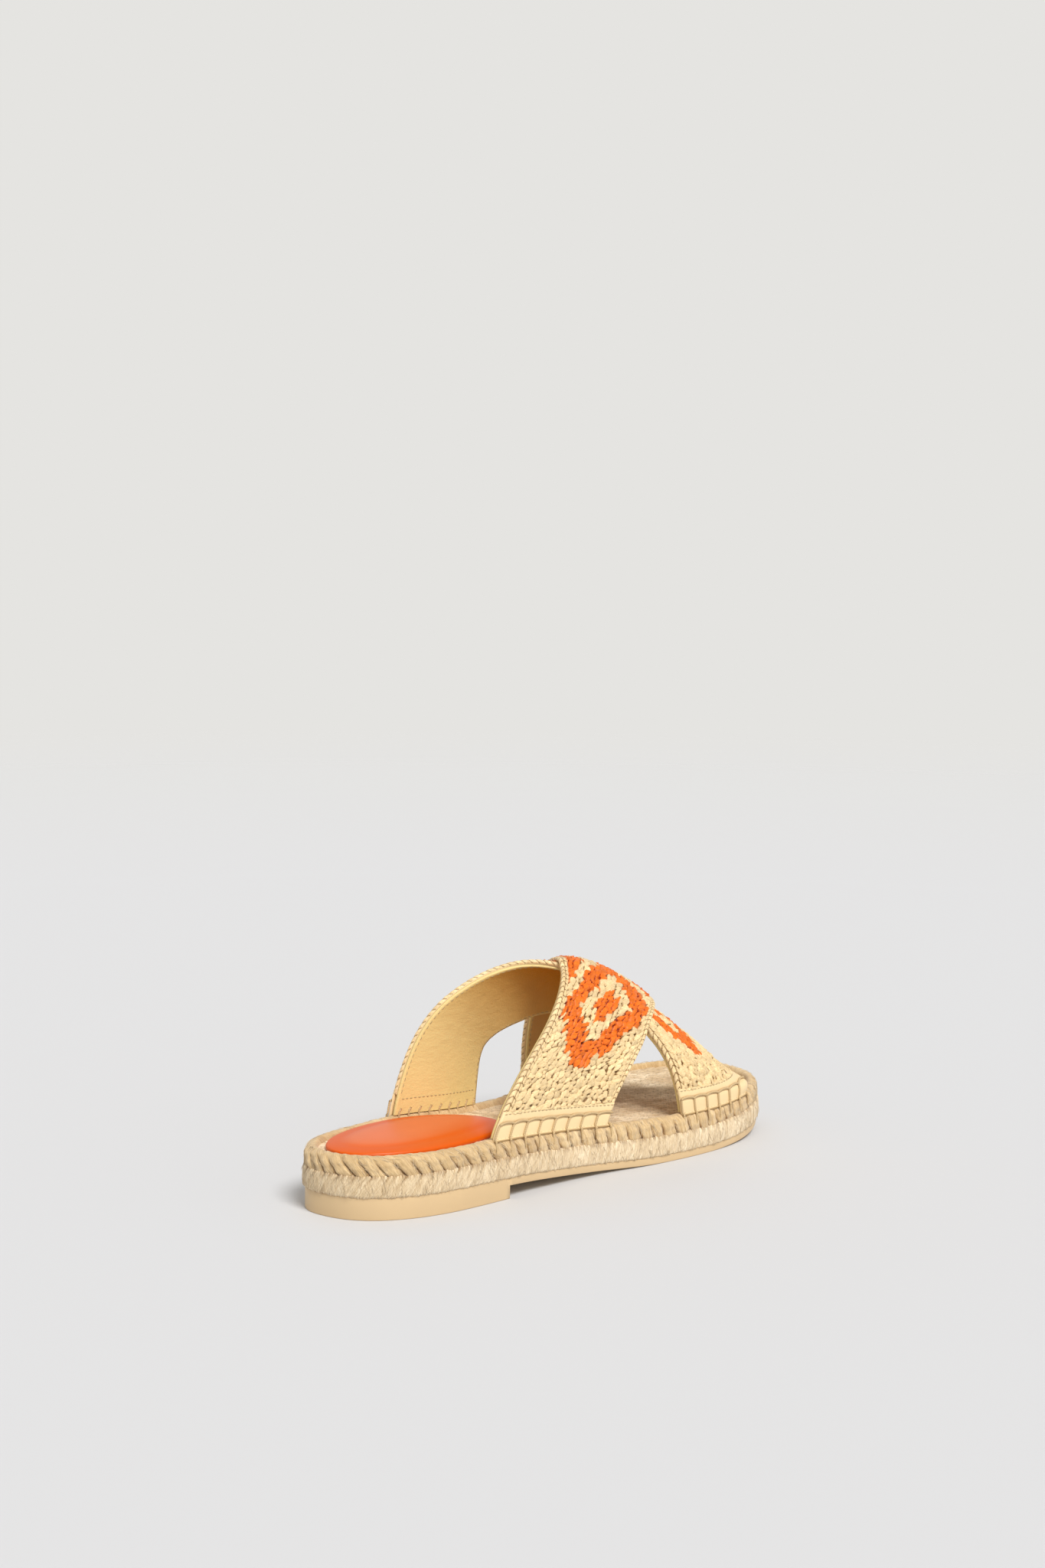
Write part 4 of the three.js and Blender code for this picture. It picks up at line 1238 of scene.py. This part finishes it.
def cord_paths(band, sizes):
    """Hand stitches of one band: scallops along the cord line between upright stitches that run down
    over the lower edge on to the braid."""
    radius = cord_radius(sizes)
    count = bay_count(band, sizes)
    share = np.linspace(0, 1, count * 12 + 1)
    scallop = CORD_LINE - 0.03 + 0.075 * np.abs(np.sin(np.pi * share * count)) ** 0.7
    run, run_normal = band.at(scallop, share, radius * 0.75)
    steps = np.linspace(0, 1, 15)
    stations = np.arange(count + 1) / count
    down = CORD_LINE * (1 - steps) - 0.02
    height, width = np.broadcast_arrays(down[None], stations[:, None])
    drift = 0.006 * np.sin(3 * steps)[None] * (scatter(np.arange(count + 1), 2)[:, None] - 0.5)
    upright, upright_normal = band.at(np.clip(height, 0, 1), np.clip(width + drift, 0, 1), radius * 0.7)
    drop = np.clip(-height, 0, 1)[..., None]
    upright = upright + drop * (0, 0, -12)
    thick = radius * (0.85 + 0.3 * scatter(np.arange(count + 1), 4))[:, None]
    return [round_cords(run[None], run_normal[None], radius),
            round_cords(upright, upright_normal, thick)]


def tail_paths(band, sizes):
    """Upright stitches below the band: short cords down the braid's side, leaning with its wraps."""
    count = bay_count(band, sizes)
    start, normal = band.at(np.zeros(count + 1), np.arange(count + 1) / count, 0.1)
    steps = np.linspace(0, 1, 7)
    out = normal.copy()
    out[:, 2] = 0
    out = unit(out)
    fall = steps[None, :, None] * np.array([0, 0, -4.2])
    push = (0.55 * np.sin(np.pi * steps * 0.5))[None, :, None] * out[:, None]
    paths = start[:, None] + fall + push
    normals = np.broadcast_to(out[:, None], paths.shape)
    radius = cord_radius(sizes) * (1 - 0.5 * steps ** 2)
    return round_cords(paths, normals, radius)


def loop_paths(strap, end, sizes):
    """Jute loops on the lining at a strap's foot: short upright stitches with a hooked top."""
    steps = np.linspace(0, 1, 9)
    height = LOOP_HEIGHT * (1 - steps) + 0.05
    hook = 0.02 * smoothstep(0.35, 0, steps)
    paths, normals = [], []
    for width in np.linspace(0.05, 0.95, LOOP_COUNT):
        across = width + hook
        turn = strap.turn_at_height(end, across, height)
        place = strap.point(turn, across, np.full(across.shape, INNER_FACE - 0.15))
        place[:, 2] -= 2.2 * steps
        paths.append(place)
        normals.append(-strap.normal(turn, across))
    radius = cord_radius(sizes) * 0.85
    return round_cords(np.stack(paths), np.stack(normals), np.full(steps.shape, radius))


def thread_dashes(line, normals, pitch):
    """Machine stitches along a line: short rounded threads, thin at both ends, a pitch apart."""
    steps = np.linalg.norm(np.diff(line, axis=0), axis=-1)
    lengths = np.concatenate([[0], np.cumsum(steps)])
    count = max(1, int(lengths[-1] / pitch))
    local = np.linspace(0, THREAD_FILL, 5)
    wanted = (np.arange(count)[:, None] + local[None] + 0.15) * lengths[-1] / count
    wanted = np.clip(wanted, 0, lengths[-1])
    paths = np.stack([np.interp(wanted, lengths, line[:, k]) for k in range(3)], axis=-1)
    ways = np.stack([np.interp(wanted, lengths, normals[:, k]) for k in range(3)], axis=-1)
    sink = np.array([-0.7, 0.35, 0.6, 0.35, -0.7]) * THREAD_RADIUS
    taper = np.array([0.5, 0.9, 1.0, 0.9, 0.5]) * THREAD_RADIUS
    return round_cords(paths + ways * sink[None, :, None], ways, taper, sides=5)


def strap_thread(strap, share, offset):
    """A line along a strap at a share of its width, with the direction it faces."""
    along = np.linspace(0, 1, 400)
    width = np.full(along.shape, share)
    turn = strap.turn_at(along, width)
    line = strap.point(turn, width, np.full(turn.shape, offset))
    return line, np.sign(offset) * strap.normal(turn, width)


def foot_thread(strap, end):
    """A line across the lining a little above a strap's foot, with the direction it faces."""
    width = np.linspace(0.05, 0.95, 200)
    turn = strap.turn_at_height(end, width, np.full(width.shape, FOOT_THREAD_HEIGHT))
    line = strap.point(turn, width, np.full(width.shape, INNER_FACE - 0.03))
    return line, -strap.normal(turn, width)


class SANDAL_OT_sole(bpy.types.Operator):
    """Build the rubber outsole, the jute row and braid, and the footbed"""

    bl_idname = "sandal.sole"
    bl_label = "Sole"

    def execute(self, context):
        sizes, colours = context.scene.sandal_sizes, context.scene.sandal_colours
        make_rubber_outsole(colours)
        make_jute_row(sizes, colours)
        make_jute_braid(sizes, colours)
        make_stray_fibres(colours)
        make_footbed(colours)
        return {"FINISHED"}


class SANDAL_OT_cushion(bpy.types.Operator):
    """Build the orange leather heel cushion"""

    bl_idname = "sandal.cushion"
    bl_label = "Heel cushion"

    def execute(self, context):
        make_heel_cushion(context.scene.sandal_colours)
        return {"FINISHED"}


class SANDAL_OT_straps(bpy.types.Operator):
    """Build the two crocheted straps with their leather linings"""

    bl_idname = "sandal.straps"
    bl_label = "Straps"

    def execute(self, context):
        sizes, colours = context.scene.sandal_sizes, context.scene.sandal_colours
        raffia = raffia_finish(colours)
        lining = leather_finish("Tan lining leather", colours.lining, 0.5, 0.05, 0.85, LINING_PAINTED_SHADE)
        make_strap("over", OVER, sizes, *MOTIF_OVER, raffia, lining)
        make_strap("under", UNDER, sizes, *MOTIF_UNDER, raffia, lining)
        return {"FINISHED"}


class SANDAL_OT_bands(bpy.types.Operator):
    """Build the leather bands, their hand stitches and every machine stitch"""

    bl_idname = "sandal.bands"
    bl_label = "Bands and stitches"

    def execute(self, context):
        sizes, colours = context.scene.sandal_sizes, context.scene.sandal_colours
        leather = leather_finish("Tan band leather", colours.leather, 0.45, 0.1, 0.3, BAND_LOWER_EDGE_DARKENING)
        cord = cord_finish("Jute cord", colours.cord, 1.2)
        thread = cord_finish("Tan thread", darker(colours.leather, THREAD_SHADE)[:3], 3.0)
        pitch = sizes.thread_pitch / MM
        bands = [Band("band_heel_lateral", OVER, 0), Band("band_heel_medial", UNDER, 1),
                 Band("band_toe_lateral", UNDER, 0), Band("band_toe_medial", OVER, 1)]
        dashes = []
        for band in bands:
            make_band(band, sizes, leather)
            parts = cord_paths(band, sizes) + [tail_paths(band, sizes),
                                               loop_paths(band.strap, band.end, sizes)]
            points, faces, uv = joined(parts)
            new_piece(f"hand_stitches_{band.name[5:]}", points, faces, cord, [], None, uv)
            share = np.linspace(0.01, 0.99, 200)
            for height in BAND_THREAD_LINES:
                dashes.append(thread_dashes(*band.at(np.full(200, height), share, 0.02), pitch * 0.8))
        outside = sizes.edge_width / MM * THREAD_INSET_OUTSIDE / STRAP_WIDTH
        lines = ((outside, OUTER_FACE + 0.06), (THREAD_INSET_INSIDE, INNER_FACE - 0.03))
        for strap in (OVER, UNDER):
            for side in (0, 1):
                for share, offset in lines:
                    line = strap_thread(strap, abs(side - share), offset)
                    dashes.append(thread_dashes(*line, pitch))
            for end in (0, 1):
                dashes.append(thread_dashes(*foot_thread(strap, end), pitch * 0.8))
        points, faces, uv = joined(dashes)
        new_piece("machine_stitches", points, faces, thread, [], None, uv)
        return {"FINISHED"}


class SANDAL_OT_stage(bpy.types.Operator):
    """Set the pale floor, the soft lights and the camera"""

    bl_idname = "sandal.stage"
    bl_label = "Floor, lights and camera"

    def execute(self, context):
        colours = context.scene.sandal_colours
        make_floor(colours)
        make_lights(context, colours)
        make_camera(context)
        return {"FINISHED"}


def make_floor(colours):
    """A flat disc under the sandal."""
    angle = TAU * np.arange(FLOOR_SIDES) / FLOOR_SIDES
    ring = np.stack([np.cos(angle), np.sin(angle), 0 * angle], axis=-1) * FLOOR_RADIUS
    mesh = bpy.data.meshes.new("floor")
    mesh.from_pydata(ring.tolist(), [], [list(range(FLOOR_SIDES))])
    mesh.materials.append(floor_finish(colours))
    floor = bpy.data.objects.new("floor", mesh)
    bpy.context.scene.collection.objects.link(floor)


def add_sun(context, name, direction, strength, spread, tint):
    """An even light from a direction towards the sandal, softened by its spread in degrees."""
    data = bpy.data.lights.new(name, "SUN")
    data.energy = strength
    data.angle = np.radians(spread)
    data.color = tint
    light = bpy.data.objects.new(name, data)
    light.location = direction
    light.rotation_euler = Vector(direction).to_track_quat("Z", "Y").to_euler()
    context.scene.collection.objects.link(light)


def make_lights(context, colours):
    """A soft key above the toe on the camera's right, a weak fill, and an even pale surrounding."""
    add_sun(context, "key", (-0.28, -0.96, 1.2), 2.9, 25, (1.0, 0.985, 0.96))
    add_sun(context, "fill", (0.2, 0.6, 1.2), 0.4, 60, (1.0, 0.99, 0.97))
    world = bpy.data.worlds.new("studio")
    world.use_nodes = True
    tree = world.node_tree
    way = put(tree, "ShaderNodeTexCoord").outputs["Generated"]
    height = put(tree, "ShaderNodeSeparateXYZ", {0: way}).outputs["Z"]
    pale = blend(tree, spread(tree, height, 0.25, 0.7), colour(colours.backdrop),
                 darker(colours.backdrop, 0.35))
    tree.links.new(pale, tree.nodes["Background"].inputs["Color"])
    context.scene.world = world
    context.scene.view_settings.view_transform = "Standard"


def make_camera(context):
    """The camera looks along back, the direction from the target to it, turned by the roll, and
    stands off from the target by the fitted offsets."""
    turn, tilt, roll = np.radians([CAMERA_TURN, CAMERA_TILT, CAMERA_ROLL])
    back = np.array([np.sin(turn) * np.cos(tilt), -np.cos(turn) * np.cos(tilt), np.sin(tilt)])
    level = np.array([np.cos(turn), np.sin(turn), 0])
    upright = np.cross(back, level)
    right = np.cos(roll) * level - np.sin(roll) * upright
    up = np.sin(roll) * level + np.cos(roll) * upright
    target = np.array(CAMERA_TARGET) + ORIGIN_SHIFT
    place = target - CAMERA_ASIDE * right - CAMERA_BELOW * up + CAMERA_DISTANCE * back
    data = bpy.data.cameras.new("camera")
    data.sensor_fit = "VERTICAL"
    data.sensor_height = SENSOR
    data.lens = CAMERA_FOCUS * SENSOR / IMAGE_HEIGHT
    camera = bpy.data.objects.new("camera", data)
    axes = Matrix((right, up, back)).transposed().to_4x4()
    camera.matrix_world = Matrix.Translation(place * MM) @ axes
    context.scene.collection.objects.link(camera)
    context.scene.camera = camera


class SANDAL_PT_panel(bpy.types.Panel):
    """Sizes, colours and the steps that build the sandal"""

    bl_idname = "SANDAL_PT_panel"
    bl_label = "Jute slide sandal"
    bl_space_type = "VIEW_3D"
    bl_region_type = "UI"
    bl_category = "Sandal"

    def draw(self, context):
        for group in (context.scene.sandal_sizes, context.scene.sandal_colours):
            box = self.layout.box()
            for name in group.__annotations__:
                box.prop(group, name)
        for step in STEPS:
            self.layout.operator(step.bl_idname)


STEPS = [SANDAL_OT_stage, SANDAL_OT_sole, SANDAL_OT_cushion, SANDAL_OT_straps, SANDAL_OT_bands]
CLASSES = [SandalSizes, SandalColours, *STEPS, SANDAL_PT_panel]


def register():
    for item in CLASSES:
        bpy.utils.register_class(item)
    bpy.types.Scene.sandal_sizes = bpy.props.PointerProperty(type=SandalSizes)
    bpy.types.Scene.sandal_colours = bpy.props.PointerProperty(type=SandalColours)


def unregister():
    del bpy.types.Scene.sandal_colours
    del bpy.types.Scene.sandal_sizes
    for item in reversed(CLASSES):
        bpy.utils.unregister_class(item)


def main():
    register()
    bpy.ops.sandal.stage()
    bpy.ops.sandal.sole()
    bpy.ops.sandal.cushion()
    bpy.ops.sandal.straps()
    bpy.ops.sandal.bands()


if __name__ == "__main__":
    main()
